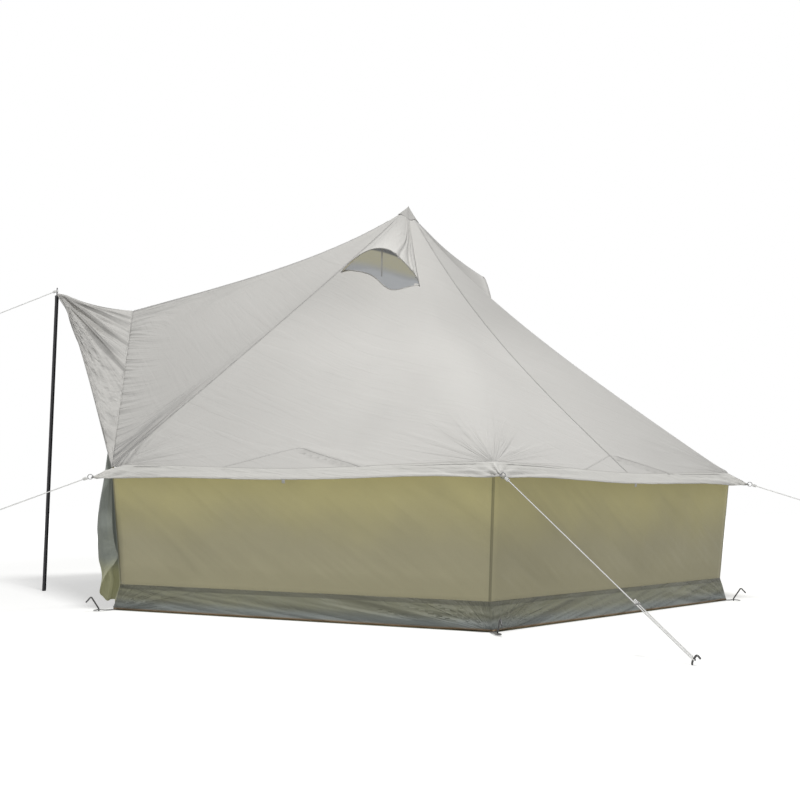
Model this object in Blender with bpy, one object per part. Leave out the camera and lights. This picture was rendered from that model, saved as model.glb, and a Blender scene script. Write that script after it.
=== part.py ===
"""Six-sided canvas tent on one centre pole, with a raised awning over its doorway.

Metres, +Z up. The origin is on the ground under the centre pole, and the doorway faces -Y.
Azimuths are in degrees from +X: the corners lie at 0, 60, 120, 180, 240 and 300 degrees.
"""

from math import asin, atan2, cos, degrees, hypot, pi, radians, sin

import bmesh
import bpy
from mathutils import Matrix, Vector

# Plan and heights of the cloth
CORNER_RADIUS = 2.15        # centre to an eave corner
EAVE_HEIGHT = 0.75          # eave seam at the middle of a side
EAVE_CORNER_LIFT = 0.025    # eave seam, corner above middle
APEX_HEIGHT = 2.765         # top of the roof cloth under its cap
WALL_LEAN = 0.079           # how far a corner leans outwards from the skirt up to the eave
WALL_FOOT_RADIUS = CORNER_RADIUS - WALL_LEAN
WALL_FOOT_HEIGHT = 0.137
SKIRT_SPLAY = 0.033
SKIRT_FOOT_RADIUS = WALL_FOOT_RADIUS + SKIRT_SPLAY
GROUNDSHEET_EDGE = 0.008    # how far the groundsheet shows outside the skirt
GROUNDSHEET_RADIUS = SKIRT_FOOT_RADIUS + GROUNDSHEET_EDGE
ROOF_SAG = 0.165            # how far the roof curves below a straight cone
DOOR_HIP_SAG = 0.025        # the same on the two hips that the awning pulls tight
RIDGE_SAG = 0.10
CORNER_ROUNDING = 0.24      # half the width of the curve where a gore turns a corner
ROUNDED_CORNERS = (0, 120, 180)
DOOR_PEAK_LEAN = 0.066      # the top of the doorway stands this far outside its sill's side
DOOR_PEAK_OUT = CORNER_RADIUS * cos(radians(30)) + DOOR_PEAK_LEAN
DOOR_PEAK_HEIGHT = 1.884

# Cloth thicknesses and the gap between pieces that touch
GAP = 0.0003
ROOF_DROP = 0.005           # measured straight down
WALL_CLOTH = 0.003
SKIRT_CLOTH = 0.003
GROUNDSHEET_CLOTH = 0.003
FLAP_CLOTH = 0.003
CAP_DROP = 0.004
CAP_GAP = 0.0006
HOOD_DROP = 0.004
MESH_DROP = 0.003

# Cap and vents
THROAT_RADIUS = 0.06        # hole at the top of the roof cloth, under the cap
CAP_RADIUS = 0.13
VENT_FACES = {-30: (0, 6), 90: (1, 6), 210: (1, 7)}   # face: the hood's columns, first and past
VENT_TOP_SHARE = 0.085      # shares of the slope from apex to eave
VENT_FOOT_SHARE = 0.28
HOOD_FOOT_SHARE = 0.30
VENT_MARGIN = 5             # degrees of roof cloth left beside each hip
HOOD_LIFT = 0.215
CREST_SHARE = 0.62          # how far round the hood its highest point lies
PROP_WIDTH = 0.008
PROP_THICK = 0.003
PROP_FOLD = 36              # degrees that a prop folds up the slope
PROP_HEAD_ROOM = 0.012      # between the prop's head and the hood's crest
PROP_SHARE = 0.29           # where the prop's foot stands on the slope

# Eave strip and its drawn-out corners
STRIP_OUT = 0.040
STRIP_FALL = 0.047
STRIP_DROP = 0.004
EAR_REACH = 0.115
EAR_FALL = 0.062
EAR_SPREAD = 0.13
STRIP_RETURN = 0.012        # share of the doorway's side that the strip turns in at each end
EYELET_INSET = 0.012        # eyelet hole, in from the tip of a corner
RING_RADIUS = 0.013
RING_WIRE = 0.0022
RING_PLAY = 0.0016

# Awning
AWNING_RUN = 0.500          # level distance from the doorway's peak to the awning's tip
AWNING_TIP_OUT = DOOR_PEAK_OUT + AWNING_RUN
AWNING_TIP_HEIGHT = 1.985
AWNING_RIDGE_SAG = 0.022
AWNING_EDGE_CURVE = 0.036   # how far the free edge draws in, most of it near the pole
AWNING_FOLD = 0.007
AWNING_FOLDS = 4
AWNING_STEPS = 16
TIP_CLEARANCE = 0.012

# Poles
AWNING_POLE_RADIUS = 0.0125
AWNING_POLE_LEAN = 0.022    # how far its foot stands inside its tip
AWNING_POLE_FOOT_OUT = AWNING_TIP_OUT - AWNING_POLE_LEAN
AWNING_POLE_SPLIT = 1.02    # height of the joint between its two sections
AWNING_SPIKE_RADIUS = 0.004
AWNING_SPIKE_TOP = 2.022
AWNING_ROPE_RISE = 0.016    # the rope meets the spike this far above the cloth
SHOULDER_RADIUS = 0.0135
CENTRE_POLE_RADIUS = 0.019
CENTRE_POLE_SPLIT = 1.36
CENTRE_SPIKE_RADIUS = 0.005
CENTRE_SPIKE_LENGTH = 0.050
CENTRE_SPIKE_SHORTFALL = 0.013
POLE_WALL = 0.0015
SPIGOT_LENGTH = 0.12
SPIGOT_PLAY = 0.0005

# Doorway
LEAF_HEM_HEIGHT = 0.045
LEAF_LIFT_TOP = 0.40        # the free corner of the hem is drawn up from below this height
LEAF_LEVELS = (
    # height, size of the folds and how far they are wrapped round the corner
    (0.76, 0.50, 0.0), (0.69, 0.66, 0.15), (0.58, 0.90, 0.6), (0.46, 1.08, 1.0),
    (0.34, 1.12, 1.0), (0.24, 1.14, 1.0), (0.14, 1.10, 1.0), (LEAF_HEM_HEIGHT, 0.95, 1.0),
)
LEAF_FOLDS = (
    # across a gathered leaf: into the doorway and outwards, from its seam to its free edge
    (0.000, 0.000), (0.045, 0.010), (0.090, 0.008), (0.120, 0.026), (0.108, 0.050),
    (0.074, 0.044), (0.048, 0.056), (0.056, 0.078), (0.036, 0.094), (0.004, 0.090),
    (-0.026, 0.070), (-0.040, 0.040), (-0.034, 0.014),
)
LEAF_LIFTS = (0, 0, 0, 0, 0, 0, 0, 0.02, 0.04, 0.07, 0.12, 0.17, 0.20)
LEAF_EDGE_GAP = 0.0006      # leaf to the seam and corner that it is sewn to
LEAF_TURN_IN = 0.030        # how far it keeps clear of the eave strip's corner
SLIDER_LENGTH = 0.028
SLIDER_WIDTH = 0.016
SLIDER_SLOT = 0.0085
SLIDER_SLOT_DEPTH = 0.018
SLIDER_PARK = 0.78

# Ropes, tensioners and pegs
ROPE_RADIUS = 0.0025
STRAND_SPACING = 0.018
TENSIONER_SPAN = 0.040
TENSIONER_DEPTH = 0.014
TENSIONER_THICK = 0.005
TENSIONER_PLAY = 0.0005
PEG_RADIUS = 0.004
PEG_IN_TAB = 0.015          # a base peg stands this far inside the middle of a tab's round end
PEGS_IN_TABS = {60: 0.055}
PEG_SHAFT = 0.072
PEG_TAIL = 0.030
PEG_LEAN = 34
PEG_TURN = 104
PEG_BEND = 0.007
GUY_PEG_SHAFT = 0.026
GUY_PEG_TAIL = 0.010
PEG_UPRIGHT = 0.012
TAB_WIDTH = 0.034
TAB_LENGTH = 0.088          # groundsheet's corner to the middle of its tab's round end
TAB_REACH = GROUNDSHEET_RADIUS + TAB_LENGTH
GUY_PEG_OUT = 0.813         # from the near eave corner to its guy peg, outwards and aside
GUY_PEG_ASIDE = 0.517
GUY_PEG = Vector((CORNER_RADIUS + GUY_PEG_OUT, GUY_PEG_ASIDE, 0.0))
GUY_LOOP_HEIGHT = 0.022
NEAR_TENSIONER_SHARE = 0.74
ROPE_RUNS = {
    # name: azimuth of the pull, fall per metre run, run to the tensioner, run to the loop's end
    "left": (-80, 0.41, 0.56, 0.70),
    "right": (60, 0.34, 0.35, 0.49),
    "awning": (-90, 0.49, 0.40, 0.54),
}

CORNERS = (0, 60, 120, 180, 240, 300)
CORNER_NAMES = {
    0: "near",
    60: "right",
    120: "back_right",
    180: "back_left",
    240: "door_left",
    300: "left",
}
FACE_NAMES = {
    -30: "front",
    30: "right",
    90: "back",
    150: "left_rear",
    210: "left_front",
}
COLUMNS = (0, VENT_MARGIN, 17, 30, 43, 60 - VENT_MARGIN, 60)
SHARES = (VENT_TOP_SHARE, 0.15, 0.215, VENT_FOOT_SHARE, 0.42, 0.55, 0.68, 0.80, 0.90, 1.0)
DOOR_COLUMNS = (0.0, 0.17, 0.34, 0.5, 0.67, 0.84, 1.0)
DOOR_SHARES = (0.08, 0.15, 0.25, 0.38, 0.52, 0.66, 0.80, 0.90, 1.0)
EDGE_SHARES = (0, 0.012, 0.03, 0.06, 0.12, 0.30, 0.5, 0.70, 0.88, 0.94, 0.97, 0.988)

PART = bpy.data.collections.new("canvas_tent")
CUTTERS = bpy.data.collections.new("cutters")
MATERIALS = {}


def clear_scene():
    for item in list(bpy.data.objects):
        bpy.data.objects.remove(item, do_unlink=True)
    for group in (PART, CUTTERS):
        bpy.context.scene.collection.children.link(group)


def material(name, colour, roughness, metallic=0.0):
    if name not in MATERIALS:
        made = bpy.data.materials.new(name)
        made.use_nodes = True
        shader = made.node_tree.nodes["Principled BSDF"]
        shader.inputs["Base Color"].default_value = (*colour, 1.0)
        shader.inputs["Roughness"].default_value = roughness
        shader.inputs["Metallic"].default_value = metallic
        MATERIALS[name] = made
    return MATERIALS[name]


def canvas():
    return material("roof_canvas", (0.62, 0.60, 0.57), 0.85)


def wall_canvas():
    return material("wall_canvas", (0.33, 0.30, 0.18), 0.85)


def skirt_cloth():
    return material("coated_cloth", (0.20, 0.20, 0.16), 0.6)


def webbing():
    return material("strip_canvas", (0.66, 0.65, 0.61), 0.8)


def netting():
    return material("netting", (0.30, 0.32, 0.33), 0.9)


def black_tube():
    return material("black_tube", (0.010, 0.009, 0.012), 0.4, 0.6)


def steel():
    return material("steel", (0.42, 0.42, 0.42), 0.35, 1.0)


def rope_cloth():
    return material("rope", (0.70, 0.70, 0.69), 0.8)


def plastic():
    return material("white_plastic", (0.62, 0.62, 0.60), 0.45)


def add_object(name, mesh, paint, group=PART):
    item = bpy.data.objects.new(name, mesh)
    group.objects.link(item)
    if paint:
        mesh.materials.append(paint)
    return item


def mesh_from(name, builder):
    mesh = bpy.data.meshes.new(name)
    bmesh.ops.recalc_face_normals(builder, faces=builder.faces)
    builder.to_mesh(mesh)
    builder.free()
    return mesh


def layered_sheet(name, outer, inner, paint, holes=(), ring=False):
    """A closed solid between two grids of points of the same rows and columns.

    holes lists the (row, column) cells left open, and ring joins the last column to the first.
    """
    rows, columns = len(outer), len(outer[0])
    wide = columns if ring else columns - 1
    cells = [(i, j) for i in range(rows - 1) for j in range(wide) if (i, j) not in holes]
    builder = bmesh.new()
    layers = [[[builder.verts.new(p) for p in row] for row in grid] for grid in (outer, inner)]
    for i, j in cells:
        following = (j + 1) % columns
        for layer in layers:
            builder.faces.new((layer[i][j], layer[i][following],
                               layer[i + 1][following], layer[i + 1][j]))
    used = {}
    for i, j in cells:
        following = (j + 1) % columns
        square = ((i, j), (i, following), (i + 1, following), (i + 1, j))
        for a, b in zip(square, square[1:] + square[:1]):
            used.setdefault(frozenset((a, b)), []).append((a, b))
    for sides in used.values():
        if len(sides) == 1:
            (a, b), (c, d) = sides[0]
            builder.faces.new((layers[0][a][b], layers[0][c][d],
                               layers[1][c][d], layers[1][a][b]))
    loose = [v for v in builder.verts if not v.link_faces]
    bmesh.ops.delete(builder, geom=loose, context="VERTS")
    bmesh.ops.remove_doubles(builder, verts=builder.verts, dist=1e-6)
    bmesh.ops.triangulate(builder, faces=builder.faces)
    return add_object(name, mesh_from(name, builder), paint)


def lowered(grid, drop):
    return [[p - Vector((0, 0, drop)) for p in row] for row in grid]


def grid_normals(grid):
    """The direction across the sheet at each point of a grid."""
    rows, columns = len(grid), len(grid[0])
    found = []
    for i in range(rows):
        line = []
        for j in range(columns):
            along = grid[min(i + 1, rows - 1)][j] - grid[max(i - 1, 0)][j]
            across = grid[i][min(j + 1, columns - 1)] - grid[i][max(j - 1, 0)]
            line.append(across.cross(along).normalized())
        found.append(line)
    return found


def direction(azimuth):
    angle = radians(azimuth)
    return Vector((cos(angle), sin(angle), 0.0))


def across_direction(azimuth):
    return direction(azimuth + 90)


def plan_radius(azimuth, corner_radius=CORNER_RADIUS):
    """Distance from the centre to the side of the hexagon at this azimuth."""
    off_middle = azimuth % 60 - 30
    return corner_radius * cos(radians(30)) / cos(radians(off_middle))


def cornerness(azimuth):
    """1 at a corner's azimuth and 0 at the middle of a side."""
    return 0.5 + 0.5 * cos(radians(6 * azimuth))


def eave_height(azimuth):
    return EAVE_HEIGHT + EAVE_CORNER_LIFT * cornerness(azimuth)


def smooth_step(value):
    value = min(max(value, 0.0), 1.0)
    return value * value * (3 - 2 * value)


def sag_at(azimuth):
    """The hips beside the doorway are nearly straight, and the roof behind them hangs freely."""
    from_door = 180 - abs((azimuth + 90) % 360 - 180)
    from_hip = from_door - 30
    return DOOR_HIP_SAG + (ROOF_SAG - DOOR_HIP_SAG) * smooth_step(from_hip / 60)


def rounded_off(azimuth, share):
    """How far the cloth lies inside the corner where a gore turns it without a seam."""
    reach = CORNER_ROUNDING * sin(pi * share)
    corner = round(azimuth / 60) * 60
    if corner not in ROUNDED_CORNERS or reach < 0.001:
        return 0.0
    aside = share * plan_radius(azimuth) * abs(sin(radians(azimuth - corner)))
    return 0.29 * reach * max(0.0, 1 - aside / reach) ** 2


def roof_point(azimuth, share):
    """A point on the roof's outer face: share is 0 at the apex and 1 at the eave."""
    exponent = 0.80 - 0.15 * cornerness(azimuth)
    fall = (APEX_HEIGHT - eave_height(azimuth)) * share
    sag = sag_at(azimuth) * sin(pi * share ** exponent)
    reach = share * plan_radius(azimuth) - rounded_off(azimuth, share)
    place = direction(azimuth) * reach
    place.z = APEX_HEIGHT - fall - sag
    return place


def ridge_point(share):
    fall = (APEX_HEIGHT - DOOR_PEAK_HEIGHT) * share
    height = APEX_HEIGHT - fall - RIDGE_SAG * sin(pi * share ** 0.7)
    return Vector((0.0, -DOOR_PEAK_OUT * share, height))


def door_roof_point(side, along, share):
    """On a roof panel beside the doorway: along is 0 on the ridge and 1 on the hip."""
    hip = roof_point(-60, share)
    place = ridge_point(share).lerp(hip, along)
    return Vector((side * place.x, place.y, place.z))


def seam_point(side, along):
    """On the seam from the doorway's peak to the eave corner, where roof, awning and leaf meet."""
    return door_roof_point(side, along, 1.0)


def panel_shares(reach, shares):
    """The rows of one column of a roof panel: at the throat, under the cap's hem, and below."""
    return [THROAT_RADIUS / reach, CAP_RADIUS / reach, *shares]


def on_panel(azimuth, share):
    """A point of the roof as its panels are built, straight from one row to the next."""
    rows = panel_shares(plan_radius(azimuth), SHARES)
    for low, high in zip(rows, rows[1:]):
        if low <= share <= high:
            mix = (share - low) / (high - low)
            return roof_point(azimuth, low).lerp(roof_point(azimuth, high), mix)
    return roof_point(azimuth, share)


def make_roof_panels():
    """One gore between each pair of corners, and two smaller ones beside the ridge."""
    for middle, name in FACE_NAMES.items():
        grid = []
        for row in range(len(SHARES) + 2):
            line = []
            for column in COLUMNS:
                azimuth = middle - 30 + column
                share = panel_shares(plan_radius(azimuth), SHARES)[row]
                place = roof_point(azimuth, share)
                if column in (0, 60):
                    inward = 1 if column == 0 else -1
                    place += across_direction(azimuth) * (inward * GAP / 2)
                line.append(place)
            grid.append(line)
        holes = set()
        if middle in VENT_FACES:
            first, last = 2, 2 + SHARES.index(VENT_FOOT_SHARE)
            holes = {(i, j) for i in range(first, last) for j in range(1, len(COLUMNS) - 2)}
        layered_sheet(f"roof_panel_{name}", grid, lowered(grid, ROOF_DROP), canvas(), holes)

    for side, name in ((1, "door_right"), (-1, "door_left")):
        grid = []
        for row in range(len(DOOR_SHARES) + 2):
            line = []
            for along in DOOR_COLUMNS:
                share = panel_shares(seam_point(1, along).xy.length, DOOR_SHARES)[row]
                place = door_roof_point(side, along, share)
                if along == 0.0:
                    place.x += side * GAP / 2
                if along == 1.0:
                    place -= across_direction(-60 if side > 0 else 240) * (side * GAP / 2)
                if share == 1.0:
                    place.y += GAP / 2
                line.append(place)
            grid.append(line)
        layered_sheet(f"roof_panel_{name}", grid, lowered(grid, ROOF_DROP), canvas())


def cap_columns():
    """Round the cap: how far to the roof's edge and the roof point, for each panel's columns."""
    columns = []
    for middle in sorted(FACE_NAMES):
        for column in COLUMNS[:-1]:
            azimuth = middle - 30 + column
            columns.append((plan_radius(azimuth), roof_point, (azimuth,)))
    for along in reversed(DOOR_COLUMNS[1:]):
        columns.append((seam_point(1, along).xy.length, door_roof_point, (-1, along)))
    for along in DOOR_COLUMNS[:-1]:
        columns.append((seam_point(1, along).xy.length, door_roof_point, (1, along)))
    return columns


def make_apex_cap():
    under = []
    for radius in (0.0, 0.012, 0.030, THROAT_RADIUS, CAP_RADIUS):
        line = []
        for reach, on_roof, where in cap_columns():
            place = on_roof(*where, radius / reach)
            place.z += CAP_GAP
            line.append(place)
        under.append(line)
    outer = [[p + Vector((0, 0, CAP_DROP)) for p in row] for row in under]
    layered_sheet("apex_cap", outer, under, canvas(), ring=True)


def hood_lift(middle, column, slope_share):
    """How far the hood stands above the roof at this column; its crest is off the door's side."""
    used = [COLUMNS[k] for k in range(*VENT_FACES[middle])]
    side = (column - used[0]) / (used[-1] - used[0])
    crest = {-30: CREST_SHARE, 90: 0.5, 210: 1 - CREST_SHARE}[middle]
    bent = side / crest / 2 if side < crest else 0.5 + (side - crest) / (1 - crest) / 2
    return HOOD_LIFT * max(sin(pi * bent), 0.0) ** 0.85 * slope_share ** 1.2


def make_vents():
    for number, middle in enumerate(VENT_FACES, start=1):
        make_vent_mesh(number, middle)
        make_vent_hood(number, middle)
        make_vent_prop(number, middle)


def make_vent_mesh(number, middle):
    """Netting that fills the hole in the roof panel, a gap inside its edge."""
    first, last = SHARES.index(VENT_TOP_SHARE), SHARES.index(VENT_FOOT_SHARE)
    slope = (roof_point(middle, VENT_TOP_SHARE) - roof_point(middle, VENT_FOOT_SHARE)).length
    inset = 1.5 * GAP * (VENT_FOOT_SHARE - VENT_TOP_SHARE) / slope
    grid = []
    for k in range(first, last + 1):
        share = SHARES[k]
        if k == first:
            share += inset
        if k == last:
            share -= inset
        line = []
        for column in COLUMNS[1:-1]:
            azimuth = middle - 30 + column
            place = roof_point(azimuth, share)
            if column == COLUMNS[1]:
                place += across_direction(azimuth) * GAP
            if column == COLUMNS[-2]:
                place -= across_direction(azimuth) * GAP
            place.z -= 0.001
            line.append(place)
        grid.append(line)
    layered_sheet(f"vent_mesh_{number}", grid, lowered(grid, MESH_DROP), netting())


def make_vent_hood(number, middle):
    """The panel over a vent, sewn along both sides and standing open at its brim."""
    rows = [share for share in SHARES if share <= VENT_FOOT_SHARE] + [HOOD_FOOT_SHARE]
    used = [COLUMNS[k] for k in range(*VENT_FACES[middle])]
    extra = [(a + b) / 2 for a, b in zip(used[1:], used[2:-1])]
    under = []
    for row in range(len(rows) + 1):
        line = []
        for column in sorted(used + extra):
            azimuth = middle - 30 + column
            first = (CAP_RADIUS + 2 * GAP) / plan_radius(azimuth)
            share = rows[row - 1] if row else first
            place = on_panel(azimuth, share)
            if column in (0, 60):
                inward = 1 if column == 0 else -1
                place += across_direction(azimuth) * (inward * GAP / 2)
            lift = hood_lift(middle, column, (share - first) / (HOOD_FOOT_SHARE - first))
            place.z += CAP_GAP + lift
            line.append(place)
        under.append(line)
    outer = [[p + Vector((0, 0, HOOD_DROP)) for p in row] for row in under]
    layered_sheet(f"vent_hood_{number}", outer, under, canvas())


def prop_foot(middle):
    """Where a prop is hinged: just high enough for its foot to clear the roof as it folds."""
    base = on_panel(middle, PROP_SHARE)
    out, across = direction(middle), across_direction(middle)
    stand = 0.0
    for fold in range(0, PROP_FOLD + 1, 6):
        for down in (-PROP_THICK / 2, PROP_THICK / 2):
            for aside in (-PROP_WIDTH / 2, PROP_WIDTH / 2):
                place = base + out * (down * cos(radians(fold))) + across * aside
                azimuth = degrees(atan2(place.y, place.x))
                share = place.xy.length / plan_radius(azimuth)
                roof = on_panel(azimuth, share).z
                stand = max(stand, roof - base.z - down * sin(radians(fold)))
    return base + Vector((0, 0, stand + 2 * GAP))


def make_vent_prop(number, middle):
    """A flat stiffener that stands on the roof and holds the middle of the brim up."""
    foot = prop_foot(middle)
    first = CAP_RADIUS / plan_radius(middle)
    lift = hood_lift(middle, 30, (PROP_SHARE - first) / (HOOD_FOOT_SHARE - first))
    length = lift - PROP_HEAD_ROOM
    builder = bmesh.new()
    bmesh.ops.create_cube(builder, size=1.0)
    bmesh.ops.scale(builder, verts=builder.verts, vec=(PROP_THICK, PROP_WIDTH, length))
    bmesh.ops.translate(builder, verts=builder.verts, vec=(0, 0, length / 2))
    prop = add_object(f"vent_prop_{number}", mesh_from("prop", builder), plastic())
    prop.location = foot
    prop.rotation_euler = (0, 0, radians(middle))


def make_walls_and_skirt():
    for middle in sorted(FACE_NAMES) + [270]:
        name = FACE_NAMES.get(middle)
        if name:
            make_side_band(
                f"wall_{name}", middle, WALL_FOOT_HEIGHT + GAP, None,
                WALL_FOOT_RADIUS, CORNER_RADIUS, WALL_CLOTH, wall_canvas())
            band = f"mud_skirt_{name}"
        else:
            band = "door_sill"
        make_side_band(
            band, middle, GROUNDSHEET_CLOTH + GAP, WALL_FOOT_HEIGHT,
            SKIRT_FOOT_RADIUS, WALL_FOOT_RADIUS, SKIRT_CLOTH, skirt_cloth())


def make_side_band(name, middle, low, high, low_radius, high_radius, cloth, paint):
    """A flat band of cloth between two corners, mitred where it meets its neighbours.

    A band with no top height reaches up to the underside of the roof's edge.
    """
    layers = []
    for inset in (0.0, cloth / cos(radians(30))):
        grid = []
        for radius, height in ((low_radius, low), (high_radius, high)):
            line = []
            for column in COLUMNS:
                azimuth = middle - 30 + column
                place = direction(azimuth) * plan_radius(azimuth, radius - inset)
                place.z = eave_height(azimuth) - ROOF_DROP - GAP if height is None else height
                if column in (0, 60):
                    inward = 1 if column == 0 else -1
                    place += across_direction(azimuth) * (inward * GAP / 2)
                line.append(place)
            grid.append(line)
        layers.append(grid)
    layered_sheet(name, layers[0], layers[1], paint)


def make_groundsheet():
    """A flat hexagon with a tab and a peg hole at each corner."""
    builder = bmesh.new()
    half = TAB_WIDTH / 2
    outline = []
    for azimuth in CORNERS:
        out, across = direction(azimuth), across_direction(azimuth)
        neck = out * (GROUNDSHEET_RADIUS - half * sin(radians(30)) / cos(radians(30)))
        tip = out * TAB_REACH
        outline.append(neck - across * half)
        outline.append(tip - across * half)
        for step in range(1, 6):
            turn = radians(-90 + 30 * step)
            outline.append(tip + out * (half * cos(turn)) + across * (half * sin(turn)))
        outline.append(tip + across * half)
        outline.append(neck + across * half)
    face = builder.faces.new([builder.verts.new(p) for p in outline])
    raised = bmesh.ops.extrude_face_region(builder, geom=[face], use_keep_orig=True)
    lifted = [v for v in raised["geom"] if isinstance(v, bmesh.types.BMVert)]
    bmesh.ops.translate(builder, verts=lifted, vec=(0, 0, GROUNDSHEET_CLOTH))
    sheet = add_object("groundsheet", mesh_from("groundsheet", builder), skirt_cloth())
    cut_holes(sheet, [base_peg_place(c) for c in CORNERS], PEG_RADIUS + 2 * GAP)


def base_peg_place(corner):
    return direction(corner) * (TAB_REACH - PEGS_IN_TABS.get(corner, PEG_IN_TAB))


def cut_holes(item, places, radius, turned=None, depth=0.03):
    """Round holes through an object at several places, made by one hidden set of cylinders."""
    builder = bmesh.new()
    for place in places:
        frame = Matrix.Translation(place) @ (turned or Matrix.Identity(4))
        bmesh.ops.create_cone(builder, cap_ends=True, segments=12, radius1=radius,
                              radius2=radius, depth=depth, matrix=frame)
    cutter = add_object(f"cutter_{item.name}", mesh_from("cutter", builder), None, CUTTERS)
    cutter.hide_render = True
    cutter.display_type = "WIRE"
    cut = item.modifiers.new("holes", "BOOLEAN")
    cut.object = cutter
    cut.operation = "DIFFERENCE"
    cut.solver = "EXACT"


def ear_weight(distance):
    """How far a point this far from a corner is drawn out towards the corner's tip."""
    return max(0.0, 1 - distance / EAR_SPREAD) ** 2


def ear_tip(azimuth):
    tip = direction(azimuth) * (CORNER_RADIUS + EAR_REACH)
    tip.z = eave_height(azimuth) - EAR_FALL
    return tip


def eyelet(azimuth):
    place = ear_tip(azimuth) - direction(azimuth) * EYELET_INSET
    share = 1 - EYELET_INSET / EAR_REACH
    place.z = eave_height(azimuth) - EAR_FALL * share
    return place


def strip_stations():
    """Along the five closed sides and a little past both door corners: (azimuth, face, share)."""
    stations = [(middle, share) for middle in sorted(FACE_NAMES) for share in EDGE_SHARES]
    stations.append((210, 1.0))
    return [(-90, 1 - STRIP_RETURN)] + stations + [(270, STRIP_RETURN)]


def make_eave_strip():
    """One strip round the five closed sides, drawn out into a pointed ear at each corner."""
    grid = [[], [], []]
    for middle, share in strip_stations():
        start, end = direction(middle - 30), direction(middle + 30)
        edge = (start * CORNER_RADIUS).lerp(end * CORNER_RADIUS, share)
        azimuth = degrees(atan2(edge.y, edge.x))
        near = min(share, 1 - share) * CORNER_RADIUS
        corner = middle - 30 if share < 0.5 else middle + 30
        edge.z = eave_height(azimuth)
        if corner in (-60, 240) and near <= STRIP_RETURN * CORNER_RADIUS + GAP:
            edge.z -= ROOF_DROP + 2 * GAP
        beside_door = middle in (-90, 270)
        outward = direction(corner) if share in (0, 1) else direction(middle)
        inner = edge + outward * (GAP / cos(radians(30)))
        out = edge + outward * (0.012 if beside_door else STRIP_OUT)
        out.z = edge.z - (0.014 if beside_door else STRIP_FALL)
        outer = out.lerp(ear_tip(corner), ear_weight(near))
        grid[0].append(inner)
        grid[1].append(inner.lerp(outer, 0.5))
        grid[2].append(outer)
    strip = layered_sheet("eave_strip", grid, lowered(grid, STRIP_DROP), webbing())
    cut_holes(strip, [eyelet(c) for c in CORNERS], RING_WIRE + RING_PLAY,
              Matrix.Rotation(radians(7), 4, "Z"))


def pull_direction(corner):
    """The way that the ring at a corner is drawn: along its rope, or else straight out."""
    name = CORNER_NAMES[corner]
    if name == "near":
        pull = GUY_PEG - eyelet(corner)
        return Vector((pull.x, pull.y, 0)).normalized()
    if name in ROPE_RUNS:
        return direction(ROPE_RUNS[name][0])
    return direction(corner)


def ring_centre(corner):
    return eyelet(corner) + pull_direction(corner) * RING_RADIUS - Vector((0, 0, STRIP_DROP / 2))


def make_rings():
    for corner in CORNERS:
        pull = pull_direction(corner)
        bpy.ops.mesh.primitive_torus_add(major_segments=16, minor_segments=6,
                                         major_radius=RING_RADIUS, minor_radius=RING_WIRE)
        ring = bpy.context.active_object
        ring.name = f"guy_ring_{CORNER_NAMES[corner]}"
        for group in list(ring.users_collection):
            group.objects.unlink(ring)
        PART.objects.link(ring)
        ring.data.materials.append(steel())
        ring.matrix_world = upright_frame(ring_centre(corner), pull)


def upright_frame(origin, along):
    """A frame whose X runs along a level direction, Y runs up and Z lies across."""
    up = Vector((0, 0, 1))
    side = along.cross(up)
    turn = Matrix((along, up, side)).transposed().to_4x4()
    return Matrix.Translation(origin) @ turn


def awning_point(side, along, share):
    """On an awning flank: share is 0 at the pole tip and 1 on the seam, along as on the seam."""
    tip = Vector((0, -AWNING_TIP_OUT, AWNING_TIP_HEIGHT))
    seam = seam_point(1, along)
    place = tip.lerp(seam, share)
    bow = sin(pi * share)
    ridge_weight = (1 - along) ** 2
    place.z -= AWNING_RIDGE_SAG * bow * ridge_weight
    corner = seam_point(1, 1.0)
    peak = seam_point(1, 0.0)
    edge = (corner - tip).normalized()
    inward = (peak - tip) - edge * (peak - tip).dot(edge)
    drawn_in = sin(pi * share ** 0.6) * min(share / 0.1, 1.0)
    place += inward.normalized() * (AWNING_EDGE_CURVE * drawn_in * along ** 3)
    fold = sin(pi * AWNING_FOLDS * along) * share * (1 - share) * 4
    place.z += AWNING_FOLD * fold
    return Vector((side * place.x, place.y, place.z))


def make_awning():
    """Two flanks that meet on a ridge from the doorway's peak to the awning pole."""
    count = AWNING_STEPS
    for side, name in ((1, "right"), (-1, "left")):
        grid = []
        for share in (0.0, 0.1, 0.25, 0.4, 0.55, 0.7, 0.85, 1.0):
            line = []
            for k in range(count + 1):
                along = k / count
                tip = awning_point(side, along, 0.0)
                target = awning_point(side, along, 1.0)
                first = (TIP_CLEARANCE + 0.004 * along) / (target - tip).length
                place = awning_point(side, along, first + (1 - first) * share)
                if along == 0.0:
                    place.x += side * GAP / 2
                if share == 1.0:
                    place.y -= GAP / 2
                line.append(place)
            grid.append(line)
        layered_sheet(f"awning_flank_{name}", grid, lowered(grid, ROOF_DROP), canvas())


def corner_edge(height):
    """The corner beside the doorway, where wall and skirt end, at this height."""
    if height < WALL_FOOT_HEIGHT:
        share = height / WALL_FOOT_HEIGHT
        radius = SKIRT_FOOT_RADIUS + (WALL_FOOT_RADIUS - SKIRT_FOOT_RADIUS) * share
    else:
        top = EAVE_HEIGHT + EAVE_CORNER_LIFT
        share = (height - WALL_FOOT_HEIGHT) / (top - WALL_FOOT_HEIGHT)
        radius = WALL_FOOT_RADIUS + (CORNER_RADIUS - WALL_FOOT_RADIUS) * share
    place = direction(-60) * radius
    place.z = height
    return place


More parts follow.
